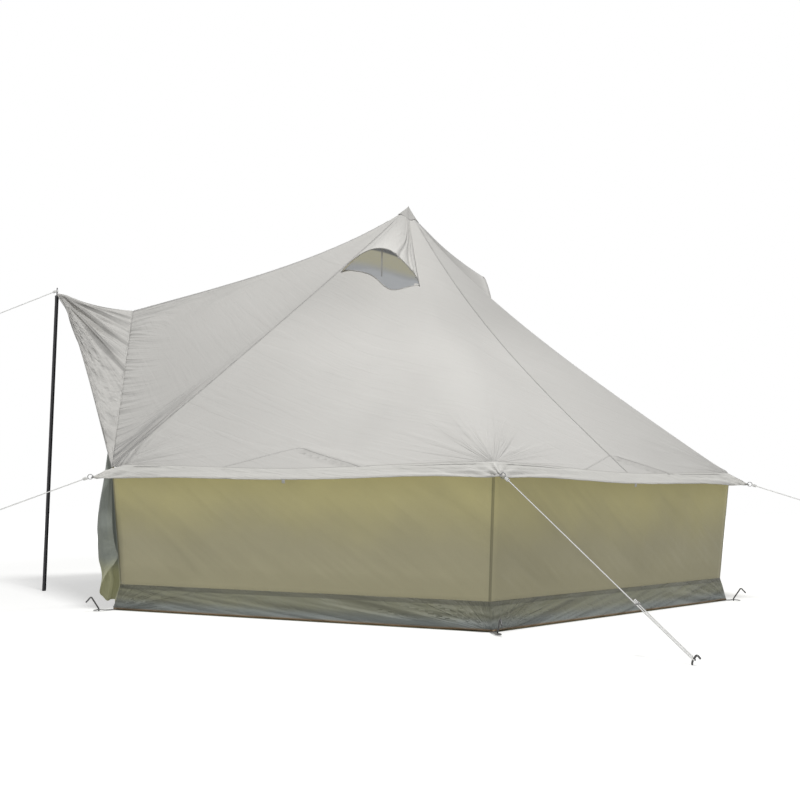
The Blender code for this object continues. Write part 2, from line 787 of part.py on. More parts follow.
def leaf_path():
    """Down the sloping seam, then down the corner: (anchor, into the doorway, size, wrap)."""
    slope = (seam_point(1, 1.0) - seam_point(1, 0.0)).normalized()
    inward = Vector((slope.z, 0, -slope.x)).normalized()
    stations = []
    for along, size in ((0.13, 0.16), (0.20, 0.20), (0.30, 0.24), (0.40, 0.26),
                        (0.52, 0.27), (0.64, 0.30), (0.75, 0.36), (0.85, 0.43)):
        anchor = seam_point(1, along)
        anchor.z -= ROOF_DROP + LEAF_EDGE_GAP
        stations.append((anchor, inward, size, 0.0))
    for height, size, wrap in LEAF_LEVELS:
        stations.append((corner_edge(height), Vector((-1, 0, 0)), size, wrap))
    return stations


def make_door_leaves():
    """Both leaves stand open, gathered along the sloping seam and tied back at the corner."""
    last = len(LEAF_FOLDS) - 1
    for side, name in ((1, "right"), (-1, "left")):
        grid = []
        for anchor, inward, size, wrap in leaf_path():
            line = []
            for j, (into, out) in enumerate(LEAF_FOLDS):
                turn_in = 0.0 if anchor.z > EAVE_HEIGHT + EAVE_CORNER_LIFT else LEAF_TURN_IN
                kept_in = into * (0.5 + 0.4 * min(size, 1.0))
                kept_in += (1 - wrap) * (turn_in + 0.055 * j / last)
                place = anchor + inward * kept_in
                place.y -= out * size + LEAF_EDGE_GAP
                low = max(0.0, (LEAF_LIFT_TOP - anchor.z) / (LEAF_LIFT_TOP - LEAF_HEM_HEIGHT))
                place.z += LEAF_LIFTS[j] * low
                line.append(Vector((side * place.x, place.y, place.z)))
            grid.append(line)
        normals = grid_normals(grid)
        inner = [[p + n * (side * FLAP_CLOTH) for p, n in zip(row, across)]
                 for row, across in zip(grid, normals)]
        layered_sheet(f"door_leaf_{name}", grid, inner, wall_canvas())


def turned_solid(name, profile, paint, segments=16):
    """A closed solid turned about Z from a profile of (radius, height), bottom to top."""
    builder = bmesh.new()
    rings = [builder.verts.new((radius, 0, height)) for radius, height in profile]
    for low, high in zip(rings, rings[1:]):
        builder.edges.new((low, high))
    bmesh.ops.spin(builder, geom=builder.verts[:] + builder.edges[:], cent=(0, 0, 0),
                   axis=(0, 0, 1), angle=2 * pi, steps=segments, use_merge=True)
    bmesh.ops.remove_doubles(builder, verts=builder.verts, dist=1e-6)
    return add_object(name, mesh_from(name, builder), paint)


def lower_section(name, foot, joint, radius, paint):
    """A tube with a plugged foot, open at its top for the next section's spigot."""
    bore = radius - POLE_WALL
    floor = joint - SPIGOT_LENGTH - 0.005
    profile = ((0, foot), (radius - 0.003, foot), (radius, foot + 0.004), (radius, joint),
               (bore, joint), (bore, floor), (0, floor))
    return turned_solid(name, profile, paint)


def upper_section(name, joint, shoulder, radius, top_profile, paint):
    """A tube whose reduced end enters the section below, and a spike at its top."""
    spigot = radius - POLE_WALL - SPIGOT_PLAY
    start = joint - SPIGOT_LENGTH
    profile = ((0, start), (spigot - 0.001, start), (spigot, start + 0.004),
               (spigot, joint + GAP), (radius, joint + GAP), (radius, shoulder), *top_profile)
    return turned_solid(name, profile, paint)


def make_poles():
    foot = GROUNDSHEET_CLOTH + GAP
    spike_top = APEX_HEIGHT - CENTRE_SPIKE_SHORTFALL
    shoulder = spike_top - CENTRE_SPIKE_LENGTH
    lower_section("centre_pole_lower", foot, CENTRE_POLE_SPLIT, CENTRE_POLE_RADIUS, steel())
    upper_section(
        "centre_pole_upper", CENTRE_POLE_SPLIT, shoulder, CENTRE_POLE_RADIUS,
        ((CENTRE_SPIKE_RADIUS, shoulder + 0.004),
         (CENTRE_SPIKE_RADIUS, spike_top - 0.004), (0.002, spike_top), (0, spike_top)), steel())

    shoulder = awning_shoulder_height()
    awning_lower = lower_section("awning_pole_lower", 0.0, AWNING_POLE_SPLIT,
                                 AWNING_POLE_RADIUS, black_tube())
    awning_upper = upper_section(
        "awning_pole_upper", AWNING_POLE_SPLIT, shoulder - 0.006, AWNING_POLE_RADIUS,
        ((SHOULDER_RADIUS, shoulder - 0.005), (SHOULDER_RADIUS, shoulder),
         (AWNING_SPIKE_RADIUS, shoulder), (AWNING_SPIKE_RADIUS, AWNING_SPIKE_TOP - 0.004),
         (0.0015, AWNING_SPIKE_TOP), (0, AWNING_SPIKE_TOP)), black_tube())
    lean = asin((AWNING_TIP_OUT - AWNING_POLE_FOOT_OUT) / AWNING_TIP_HEIGHT)
    for pole in (awning_lower, awning_upper):
        pole.location = (0, -AWNING_POLE_FOOT_OUT, 0)
        pole.rotation_euler = (lean, 0, 0)


def awning_shoulder_height():
    """The shoulder is just under the lowest cloth above it, around the tip of the awning."""
    tip = Vector((0, -AWNING_TIP_OUT, AWNING_TIP_HEIGHT))
    heights = []
    for k in range(AWNING_STEPS + 1):
        reach = (seam_point(1, k / AWNING_STEPS) - tip).xy.length
        heights.append(awning_point(1, k / AWNING_STEPS, SHOULDER_RADIUS / reach).z)
    return min(heights) - ROOF_DROP - GAP


def rope_start(name):
    if name == "awning":
        pull = rope_pull(name)
        clear = AWNING_SPIKE_RADIUS + GAP - ROPE_RADIUS * pull.z
        return (Vector((0, -AWNING_TIP_OUT, AWNING_TIP_HEIGHT + AWNING_ROPE_RISE))
                + pull * (clear / pull.xy.length))
    corner = {"near": 0, "right": 60, "left": 300}[name]
    return ring_centre(corner) + rope_pull(name) * (RING_RADIUS + RING_WIRE + 3 * GAP)


def near_loop_end():
    """Where the near rope's outgoing strand turns, so that its loop bears on the peg."""
    level = Vector((GUY_PEG.x - eyelet(0).x, GUY_PEG.y, 0)).normalized()
    lean = radians(PEG_LEAN)
    held = GUY_PEG + Vector((0, 0, GUY_LOOP_HEIGHT))
    held += level * ((GUY_LOOP_HEIGHT - PEG_UPRIGHT) * sin(lean) / cos(lean))
    slack = STRAND_SPACING / 2 - ROPE_RADIUS - PEG_RADIUS - 2 * GAP
    back = (held - ring_centre(0)).normalized() * slack
    return held - back + level.cross(Vector((0, 0, 1))) * (STRAND_SPACING / 2)


def rope_pull(name):
    """Unit direction of a rope, from the tent outwards and down."""
    if name == "near":
        return (near_loop_end() - ring_centre(0)).normalized()
    azimuth, fall = ROPE_RUNS[name][:2]
    return (direction(azimuth) - Vector((0, 0, fall))).normalized()


def rope_stations(name):
    """Distances along a rope from its start to its tensioner and to the end of its loop."""
    if name == "near":
        whole = (near_loop_end() - rope_start(name)).length
        return NEAR_TENSIONER_SHARE * whole, whole
    azimuth, fall, to_tensioner, to_loop = ROPE_RUNS[name]
    stretch = hypot(1, fall)
    return to_tensioner * stretch, to_loop * stretch


def rope_across(name):
    return rope_pull(name).cross(Vector((0, 0, 1))).normalized()


def make_ropes():
    """Each rope runs out through its tensioner, turns in a loop and comes back to the tensioner."""
    for name in ("near", "right", "left", "awning"):
        start, pull, across = rope_start(name), rope_pull(name), rope_across(name)
        to_tensioner, to_loop = rope_stations(name)
        half = STRAND_SPACING / 2
        turn = start + pull * to_loop - across * half
        route = [start + pull * (to_loop * k / 24) for k in range(24)]
        for step in range(9):
            angle = pi * step / 8
            route.append(turn + across * (half * cos(angle)) + pull * (half * sin(angle)))
        steps = 10
        length = to_loop - to_tensioner
        for k in range(1, steps + 1):
            route.append(turn - across * half - pull * (length * k / steps))
        make_tube(f"guy_rope_{name}", route, ROPE_RADIUS, rope_cloth(), 2)
        make_tensioner(name, start + pull * to_tensioner - across * half, pull, across)


def make_tube(name, route, radius, paint, resolution):
    curve = bpy.data.curves.new(name, "CURVE")
    curve.dimensions = "3D"
    curve.bevel_depth = radius
    curve.bevel_resolution = resolution
    curve.use_fill_caps = True
    curve.twist_mode = "MINIMUM"
    line = curve.splines.new("POLY")
    line.points.add(len(route) - 1)
    for point, place in zip(line.points, route):
        point.co = (*place, 1.0)
    item = bpy.data.objects.new(name, curve)
    curve.materials.append(paint)
    PART.objects.link(item)
    return item


def make_tensioner(name, centre, pull, across):
    """A bar with two bores, one for each strand of the rope."""
    builder = bmesh.new()
    bmesh.ops.create_cube(builder, size=1.0)
    bmesh.ops.scale(builder, verts=builder.verts,
                    vec=(TENSIONER_SPAN, TENSIONER_DEPTH, TENSIONER_THICK))
    bar = add_object(f"tensioner_{name}", mesh_from("tensioner", builder), plastic())
    third = pull.cross(across)
    frame = Matrix((across, third, pull)).transposed().to_4x4()
    bar.matrix_world = Matrix.Translation(centre) @ frame
    places = [centre + across * (side * STRAND_SPACING / 2) for side in (-1, 1)]
    cut_holes(bar, places, ROPE_RADIUS + TENSIONER_PLAY, frame)


def make_pegs():
    """A bent steel peg at each corner of the base, and a low one for the near guy rope."""
    for corner in CORNERS:
        make_peg(f"base_peg_{CORNER_NAMES[corner]}", base_peg_place(corner), direction(corner),
                 PEG_SHAFT, PEG_TAIL)
    pull = rope_pull("near")
    level = Vector((pull.x, pull.y, 0)).normalized()
    make_peg("guy_peg_near", GUY_PEG.copy(), level, GUY_PEG_SHAFT, GUY_PEG_TAIL)


def make_peg(name, foot, out, shaft_length, tail_length):
    """The part of a peg above the ground: a short upright, a leaning shaft and a bent head."""
    lean, turn = radians(PEG_LEAN), radians(PEG_TURN)
    shaft = out * sin(lean) + Vector((0, 0, cos(lean)))
    side = out * cos(lean) - Vector((0, 0, sin(lean)))
    bend = foot + Vector((0, 0, PEG_UPRIGHT))
    route = [foot, foot + Vector((0, 0, PEG_UPRIGHT * 0.7)), bend + shaft * 0.004]
    route += [bend + shaft * (shaft_length * share) for share in (0.5, 1.0)]
    centre = route[-1] + side * PEG_BEND
    for step in range(1, 5):
        angle = turn * step / 4
        route.append(centre - side * (PEG_BEND * cos(angle)) + shaft * (PEG_BEND * sin(angle)))
    route.append(route[-1] + (side * sin(turn) + shaft * cos(turn)) * tail_length)
    make_tube(name, route, PEG_RADIUS, steel(), 1)


def make_zip_slider():
    """Rides on the upper edge of the sill, in a slot wide enough for the sill's slope."""
    inward_slope = (SKIRT_FOOT_RADIUS - WALL_FOOT_RADIUS) * cos(radians(30)) / WALL_FOOT_HEIGHT
    middle = WALL_FOOT_RADIUS * cos(radians(30)) - SKIRT_CLOTH / 2
    middle += inward_slope * SLIDER_SLOT_DEPTH / 2
    roof = WALL_FOOT_HEIGHT + 2 * GAP
    top, low = roof + 0.004, roof - SLIDER_SLOT_DEPTH
    wide, slot = SLIDER_WIDTH / 2, SLIDER_SLOT / 2
    outline = ((-wide, top), (wide, top), (wide, low), (slot, low),
               (slot, roof), (-slot, roof), (-slot, low), (-wide, low))
    builder = bmesh.new()
    face = builder.faces.new([builder.verts.new((0, y, z)) for y, z in outline])
    raised = bmesh.ops.extrude_face_region(builder, geom=[face], use_keep_orig=True)
    far = [v for v in raised["geom"] if isinstance(v, bmesh.types.BMVert)]
    bmesh.ops.translate(builder, verts=far, vec=(SLIDER_LENGTH, 0, 0))
    slider = add_object("door_zip_slider", mesh_from("slider", builder), steel())
    slider.location = (SLIDER_PARK - SLIDER_LENGTH / 2, -middle, 0)


def main():
    clear_scene()
    make_groundsheet()
    make_walls_and_skirt()
    make_roof_panels()
    make_eave_strip()
    make_apex_cap()
    make_vents()
    make_awning()
    make_door_leaves()
    make_zip_slider()
    make_poles()
    make_rings()
    make_ropes()
    make_pegs()


main()
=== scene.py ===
"""Cloth, ropes, fittings, finishes and studio for a six-sided canvas tent.

Metres, +Z up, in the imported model's own frame: the doorway faces -Y, and azimuths are in
degrees from +X, with corners at 0, 60, 120, 180, 240 and 300 degrees.
"""

from itertools import accumulate
from math import atan2, cos, degrees, exp, hypot, pi, radians, sin
from random import Random

import bmesh
import bpy
from bpy.props import FloatProperty, FloatVectorProperty, IntProperty, PointerProperty
from mathutils import Matrix, Vector, noise


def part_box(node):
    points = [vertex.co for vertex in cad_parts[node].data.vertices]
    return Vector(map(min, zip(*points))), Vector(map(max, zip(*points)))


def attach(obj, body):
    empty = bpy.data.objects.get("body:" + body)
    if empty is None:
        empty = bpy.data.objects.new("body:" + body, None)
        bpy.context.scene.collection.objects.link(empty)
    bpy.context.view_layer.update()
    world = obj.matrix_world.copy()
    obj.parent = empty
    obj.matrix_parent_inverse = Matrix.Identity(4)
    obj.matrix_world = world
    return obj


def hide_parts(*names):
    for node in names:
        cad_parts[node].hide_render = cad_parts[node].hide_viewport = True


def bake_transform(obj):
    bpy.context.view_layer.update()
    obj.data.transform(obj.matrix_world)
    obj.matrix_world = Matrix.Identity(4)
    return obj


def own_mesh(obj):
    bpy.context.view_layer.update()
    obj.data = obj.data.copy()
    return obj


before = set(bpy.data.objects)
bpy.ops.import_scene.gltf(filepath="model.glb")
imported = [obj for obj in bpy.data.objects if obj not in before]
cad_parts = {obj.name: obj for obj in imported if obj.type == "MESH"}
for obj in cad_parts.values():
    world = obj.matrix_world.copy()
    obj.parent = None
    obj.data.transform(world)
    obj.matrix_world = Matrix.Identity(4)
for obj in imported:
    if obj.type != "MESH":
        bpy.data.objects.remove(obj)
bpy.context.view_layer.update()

bl_info = {
    "name": "Canvas Bell Tent",
    "version": (1, 0, 0),
    "blender": (4, 5, 0),
    "location": "3D View > Sidebar > Tent",
    "description": "Builds the cloth, ropes, fittings and studio of a six-sided canvas tent",
    "category": "Object",
}

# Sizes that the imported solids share, in metres
CORNER_RADIUS = 2.15
EAVE_HEIGHT = 0.75
EAVE_CORNER_LIFT = 0.025
CORNER_HEIGHT = EAVE_HEIGHT + EAVE_CORNER_LIFT
APEX_HEIGHT = 2.765
WALL_FOOT_RADIUS = 2.071
WALL_FOOT_HEIGHT = 0.137
SKIRT_FOOT_RADIUS = 2.104
GROUNDSHEET_RADIUS = 2.112
ROOF_SAG = 0.165
DOOR_HIP_SAG = 0.025
RIDGE_SAG = 0.10
CORNER_ROUNDING = 0.24
ROUNDED_CORNERS = (0, 120, 180)
AWNING_EDGE_CURVE = 0.036
DOOR_PEAK_OUT = 1.92795
DOOR_PEAK_HEIGHT = 1.884
DOOR_WIDTH = 1.56  # length of half the doorway's seam on the map of creases
AWNING_TIP_OUT = 2.42795
AWNING_TIP_HEIGHT = 1.985
THROAT_RADIUS = 0.06
CAP_RADIUS = 0.076
HOOD_FOOT = 0.30
HOOD_LIFT = 0.215
PROP_END = 0.035
EAR_REACH = 0.115
EAR_FALL = 0.062
EAR_SPREAD = 0.13
STRIP_OUT = 0.040
STRIP_FALL = 0.047
STRIP_RETURN = 0.012
EYELET_INSET = 0.012
PATCH_HEIGHT = 0.19
PATCH_HALF = 0.42
RING_RADIUS = 0.013
RING_WIRE = 0.0022
STRAND_SPACING = 0.018
TAB_REACH = 2.20
TAB_HALF = 0.0155
PEG_RADIUS = 0.004
AWNING_POLE_RADIUS = 0.0125
GUY_PEG = Vector((2.963, 0.517, 0.0))
Z_AXIS = Vector((0, 0, 1))

FRONT, RIGHT, BACK, LEFT = -30, 30, 90, 210
FACES = (FRONT, RIGHT, BACK, 150, LEFT)
SIDES = ("front", "right", "back", "left_rear", "left_front")  # the names of those faces
DOORWAY = 270
DOOR_CORNERS = (-60, 240)
CORNERS = {0: "near", 60: "right", 120: "back_right", 180: "back_left", 240: "door_left",
           300: "left"}
SEAMS = (-60, 30, 150, 240)
SLOPE_LENGTH = 2.76
PULL_STEP = 10.0  # from one side of the tent to the next on the map of creases
VENTS = {
    # face: (first column, last column, crest's share of the width, middle of the tongue)
    FRONT: (2.5, 56.5, 0.585, -21),
    BACK: (5, 55, 0.5, 90),
    LEFT: (5, 60, 0.38, 201),
}
ROPES = {
    # name: start, pull, distance to the tensioner, distance to the loop's end
    "near": ((2.27376, 0.01496, 0.70743), (0.63675, 0.45365, -0.62349), 0.8114, 1.0964),
    "right": ((1.14062, 1.97561, 0.71229), (0.47339, 0.81993, -0.32190), 0.3697, 0.5175),
    "left": ((1.13134, -1.97863, 0.71136), (0.16067, -0.91120, -0.37935), 0.6052, 0.7566),
    "awning": ((0.0, -2.43335, 1.99835), (0.0, -0.89799, -0.44002), 0.4454, 0.6013),
}
WALL_FOLDS = (  # centre, width, depth
    (-0.15, 0.05, 0.0045), (0.10, 0.06, 0.006), (0.34, 0.045, 0.005), (0.62, 0.08, 0.004),
)
# Angle in degrees, width, length and height of the folds that leave a corner of the skirt
SKIRT_CORNER = ((9, 0.014, 0.8, 0.008), (20, 0.012, 0.5, 0.008), (36, 0.010, 0.25, 0.007))
SKIRT_RAYS = {
    # face: folds from its left corner, folds from its right corner
    FRONT: (((14, 0.014, 0.55, 0.007), (27, 0.010, 0.30, 0.006)),
            ((5, 0.014, 1.30, 0.010), (10, 0.016, 1.10, 0.010), (17, 0.014, 0.70, 0.009),
             (27, 0.012, 0.42, 0.008), (42, 0.010, 0.24, 0.007), (58, 0.009, 0.17, 0.006))),
    RIGHT: (((10, 0.014, 0.80, 0.009), (19, 0.013, 0.55, 0.009), (34, 0.011, 0.30, 0.009),
             (50, 0.010, 0.20, 0.007)),
            ((8, 0.014, 0.95, 0.010), (15, 0.013, 0.65, 0.009), (24, 0.012, 0.45, 0.009),
             (38, 0.010, 0.25, 0.008))),
}
# The gathered door leaf: its folds (inwards, outwards) and their rise near the ground, and
# the size of the gather along the sloping seam and down the corner (height, size, wrap)
LEAF_FOLDS = (
    (0.000, 0.000), (0.045, 0.010), (0.090, 0.008), (0.120, 0.026), (0.108, 0.050),
    (0.074, 0.044), (0.048, 0.056), (0.056, 0.078), (0.036, 0.094), (0.004, 0.090),
    (-0.026, 0.070), (-0.040, 0.040), (-0.034, 0.014),
)
LEAF_LIFTS = (0, 0, 0, 0, 0, 0, 0, 0.02, 0.04, 0.07, 0.12, 0.17, 0.20)
LEAF_STATIONS = (
    (0.13, 0.16), (0.20, 0.20), (0.30, 0.24), (0.40, 0.26), (0.52, 0.27), (0.64, 0.30),
    (0.75, 0.36), (0.85, 0.43),
)
LEAF_LEVELS = (
    (0.76, 0.50, 0.0), (0.69, 0.66, 0.15), (0.58, 0.90, 0.6), (0.46, 1.08, 1.0),
    (0.34, 1.12, 1.0), (0.24, 1.14, 1.0), (0.14, 1.10, 1.0), (0.045, 0.95, 1.0),
)
CAMERA_PLACE = Vector((5.96491, -1.14954, 0.60169))
CAMERA_AIM = Vector((-0.976703, 0.179465, 0.117662))
CAMERA_ROLL = 0.4006
FOCAL_PIXELS = 847.54
PHOTO_WIDTH = 800.0
SENSOR_WIDTH = 36.0
SKY_LEVEL = 0.30


class TentSizes(bpy.types.PropertyGroup):
    cloth_thickness: FloatProperty(
        name="Canvas", description="Thickness of the canvas", default=0.0012, unit="LENGTH")
    crease_depth: FloatProperty(
        name="Creases", description="Depth of the creases, as a share", default=1.0, min=0.0)
    rope_diameter: FloatProperty(
        name="Rope", description="Thickness of a guy rope", default=0.006, unit="LENGTH")
    rope_lay: FloatProperty(
        name="Rope lay", description="Length of one turn of its strands", default=0.022,
        unit="LENGTH")
    stitch_length: FloatProperty(
        name="Stitch", description="Length of one stitch", default=0.006, unit="LENGTH")
    stitch_gap: FloatProperty(
        name="Stitch spacing", description="From one stitch to the next", default=0.010,
        unit="LENGTH")
    seam_width: FloatProperty(
        name="Seam", description="Width of a felled seam", default=0.011, unit="LENGTH")
    turns: IntProperty(
        name="Knot turns", description="Turns of rope in a stopper knot", default=3, min=1)


class TentColours(bpy.types.PropertyGroup):
    roof: FloatVectorProperty(
        name="Roof", description="Roof canvas", subtype="COLOR", default=(0.640, 0.628, 0.600))
    strip: FloatVectorProperty(
        name="Eave strip", description="Doubled canvas along the eave", subtype="COLOR",
        default=(0.70, 0.69, 0.655))
    # The upper wall colour is painted light: lighter and yellower where light comes through the
    # canvas.
    wall_top_lit: FloatVectorProperty(
        name="Wall, upper", description="Wall canvas under the eave", subtype="COLOR",
        default=(0.58, 0.53, 0.265))
    wall_foot: FloatVectorProperty(
        name="Wall, lower", description="Wall canvas near the ground", subtype="COLOR",
        default=(0.44, 0.41, 0.27))
    skirt: FloatVectorProperty(
        name="Skirt", description="Coated cloth", subtype="COLOR", default=(0.252, 0.250, 0.155))
    leaf: FloatVectorProperty(
        name="Door leaf", description="Door cloth", subtype="COLOR",
        default=(0.225, 0.245, 0.225))
    netting: FloatVectorProperty(
        name="Netting", description="Insect netting", subtype="COLOR",
        default=(0.30, 0.31, 0.32))
    rope: FloatVectorProperty(
        name="Rope", description="Guy ropes", subtype="COLOR", default=(0.86, 0.86, 0.84))
    pole: FloatVectorProperty(
        name="Awning pole", description="Painted tube", subtype="COLOR",
        default=(0.010, 0.010, 0.013))
    steel: FloatVectorProperty(
        name="Steel", description="Pegs, rings and centre pole", subtype="COLOR",
        default=(0.30, 0.30, 0.30))


def sizes():
    return bpy.context.scene.tent_sizes


def colours():
    return bpy.context.scene.tent_colours


# Shape of the cloth, as in the solids


def direction(azimuth):
    angle = radians(azimuth)
    return Vector((cos(angle), sin(angle), 0.0))


def across_direction(azimuth):
    return direction(azimuth + 90)


def smooth_step(value):
    value = min(max(value, 0.0), 1.0)
    return value * value * (3 - 2 * value)


def plan_radius(azimuth, corner_radius=CORNER_RADIUS):
    """From the middle to the side of a hexagon."""
    return corner_radius * cos(radians(30)) / cos(radians(azimuth % 60 - 30))


def cornerness(azimuth):
    """1 at a corner, 0 in the middle of a side."""
    return 0.5 + 0.5 * cos(radians(6 * azimuth))


def eave_height(azimuth):
    return EAVE_HEIGHT + EAVE_CORNER_LIFT * cornerness(azimuth)


def sag_at(azimuth):
    from_door = 180 - abs((azimuth + 90) % 360 - 180)
    return DOOR_HIP_SAG + (ROOF_SAG - DOOR_HIP_SAG) * smooth_step((from_door - 30) / 60)


def rounded_off(azimuth, share):
    """How far the cloth lies inside a corner where a gore turns it without a seam."""
    reach = CORNER_ROUNDING * sin(pi * share)
    corner = round(azimuth / 60) * 60
    if corner not in ROUNDED_CORNERS or reach < 0.001:
        return 0.0
    aside = share * plan_radius(azimuth) * abs(sin(radians(azimuth - corner)))
    return 0.29 * reach * max(0.0, 1 - aside / reach) ** 2


def roof_point(azimuth, share):
    """A point of the smooth roof, share from the apex to the eave."""
    exponent = 0.80 - 0.15 * cornerness(azimuth)
    fall = (APEX_HEIGHT - eave_height(azimuth)) * share
    place = direction(azimuth) * (share * plan_radius(azimuth) - rounded_off(azimuth, share))
    place.z = APEX_HEIGHT - fall - sag_at(azimuth) * sin(pi * share ** exponent)
    return place


def ridge_point(share):
    fall = (APEX_HEIGHT - DOOR_PEAK_HEIGHT) * share
    height = APEX_HEIGHT - fall - RIDGE_SAG * sin(pi * share ** 0.7)
    return Vector((0.0, -DOOR_PEAK_OUT * share, height))


def door_roof_point(side, along, share):
    place = ridge_point(share).lerp(roof_point(DOOR_CORNERS[0], share), along)
    return Vector((side * place.x, place.y, place.z))


def seam_point(side, along):
    return door_roof_point(side, along, 1.0)


def eased(share, strength=0.5):
    """0 to 1, with its steps closer together near both ends."""
    return share - strength * sin(2 * pi * share) / (2 * pi)


# Creases


def fan_height(rays, x, y):
    """Height of the creases that spread from a pulled point, each a row of four numbers.

    They are its angle in degrees, its width, its length and its height.
    """
    reach = hypot(x, y)
    if reach < 0.01 or reach > 1.3:
        return 0.0
    total = 0.0
    for angle, width, length, height in rays:
        turn = radians(angle)
        if reach > length or x * cos(turn) + y * sin(turn) <= 0:
            continue
        spread = width * (0.5 + 1.3 * reach / length)
        off = (x * sin(turn) - y * cos(turn)) / spread
        if abs(off) > 4:
            continue
        shape = exp(-off * off) - 0.55 * exp(-(off - 1.7) ** 2)
        fade = smooth_step(reach / 0.05) * (1 - smooth_step((reach / length - 0.25) / 0.75))
        total += height * shape * fade
    return total


def corner_rays(seed, first=9, last=64):
    """Creases that spread from a corner of the eave."""
    chance, rays, turn = Random(seed), [], first
    while turn < last:
        rays.append((turn, chance.uniform(0.009, 0.020), chance.uniform(0.22, 0.75),
                     chance.uniform(0.0022, 0.0055)))
        turn += chance.uniform(4.5, 9.0)
    return rays


def patch_rays(seed):
    """Creases below the triangular patch at the middle of a side."""
    chance = Random(seed)
    rays = [(-24, 0.018, 0.75, 0.014), (-15, 0.012, 0.50, 0.006), (-33, 0.010, 0.40, 0.006),
            (-158, 0.012, 0.45, 0.004), (-172, 0.015, 0.40, 0.003)]
    for turn in (-50, -75, -105, -135):
        rays.append((turn + chance.uniform(-6, 6), 0.010, 0.20, chance.uniform(0.001, 0.003)))
    return rays


# The creases from the left (0) and right (1) end of each side's eave, some listed one by one
RAYS = {(face, end): corner_rays(face + 7 * end) for face in FACES for end in (0, 1)}
RAYS[FRONT, 0] += [(66, 0.014, 1.25, 0.009), (61.5, 0.016, 1.05, 0.007),
                   (57, 0.010, 0.80, 0.004)]
RAYS[LEFT, 1] += [(66, 0.014, 1.25, 0.008), (61, 0.014, 0.95, 0.006)]
RAYS[RIGHT, 1] += [(65, 0.014, 1.15, 0.008), (60, 0.012, 0.90, 0.006),
                   (54, 0.010, 0.70, 0.004)]
RAYS[FRONT, 1] = [(14, 0.014, 0.55, 0.0035), (40, 0.009, 0.45, 0.004), (47, 0.009, 0.36, 0.0045),
                  (55, 0.010, 0.50, 0.005), (63, 0.009, 0.30, 0.0035)]
RAYS[RIGHT, 0] = [(62, 0.010, 0.36, 0.004), (34, 0.009, 0.20, 0.003), (22, 0.009, 0.17, 0.003)]
PATCHES = {face: patch_rays(face) for face in FACES}


def seam_distance(azimuth, share):
    return min(abs(sin(radians(azimuth - seam))) * share * plan_radius(azimuth)
               for seam in SEAMS if abs((azimuth - seam + 180) % 360 - 180) < 90)


def roof_height(azimuth, share):
    """Creases on the full sides, joined over the corners and calm along the seams."""
    corner = round(azimuth / 60) * 60
    blend = smooth_step((azimuth - corner) / 10 + 0.5)
    shares = ((corner - 30, 1 - blend), (corner + 30, blend))
    if corner - 30 < FRONT:
        shares = ((FRONT, 1),)
    elif corner + 30 > LEFT:
        shares = ((LEFT, 1),)
    height = sum(part * roof_crease(face, azimuth, share) for face, part in shares if part)
    return height * smooth_step(seam_distance(azimuth, share) / 0.014)


def roof_crease(face, azimuth, share):
    """Creases on one of the five full sides of the roof."""
    aside = share * plan_radius(azimuth) * sin(radians(azimuth - face))
    up = (1 - share) * SLOPE_LENGTH
    half = CORNER_RADIUS / 2
    height = fan_height(RAYS[face, 0], aside + half, up)
    height += fan_height(RAYS[face, 1], half - aside, up)
    height += fan_height(PATCHES[face], aside, up - PATCH_HEIGHT)
    place = Vector((aside * 1.6, up * 0.9, face * 0.13))
    height += 0.005 * noise.noise(place) * smooth_step(up / 0.3) * smooth_step(share / 0.4)
    fine = Vector((aside * 9, up * 3.5, face * 0.31))
    return height + 0.0012 * noise.noise(fine) * (1 - smooth_step(up / 1.1))


def door_roof_crease(side, along, share):
    """Gathers that run up from the doorway's seam, longest beside the ridge and the hip."""
    up = (1 - share) * 1.9
    near_ridge, near_hip = exp(-(along / 0.16) ** 2), exp(-((1 - along) / 0.10) ** 2)
    long_fade = 0.16 + 0.85 * near_ridge + 0.70 * near_hip
    pull = exp(-up / long_fade * 1.3) * smooth_step(up / 0.02 + 0.2)
    wave = noise.noise(Vector((along * 17, side * 3.7, up * 0.7)))
    wave += 0.6 * noise.noise(Vector((along * 37, side * 5.1, up * 1.2)))
    height = 0.0085 * wave * pull
    height += 0.006 * near_hip * sin(along * 95) * smooth_step(up / 0.2) * exp(-up / 0.9)
    ridge_fold = noise.noise(Vector((along * 26, 8.0, up * 0.6)))
    height += 0.007 * near_ridge * ridge_fold * exp(-((up - 0.6) / 0.6) ** 2)
    return height + 0.004 * noise.noise(Vector((along * 2.2, side * 1.3, up * 1.5)))


# Meshes


def grid_normals(grid, ring, flip):
    """The sheet's outward direction at each point of its grid."""
    rows, columns = len(grid), len(grid[0])
    found = []
    for i in range(rows):
        line = []
        for j in range(columns):
            down = grid[min(i + 1, rows - 1)][j] - grid[max(i - 1, 0)][j]
            if ring:
                before, after = (j - 1) % (columns - 1), (j + 1) % (columns - 1)
            else:
                before, after = max(j - 1, 0), min(j + 1, columns - 1)
            across = grid[i][after] - grid[i][before]
            normal = down.cross(across).normalized()
            line.append(-normal if flip else normal)
        found.append(line)
    return found


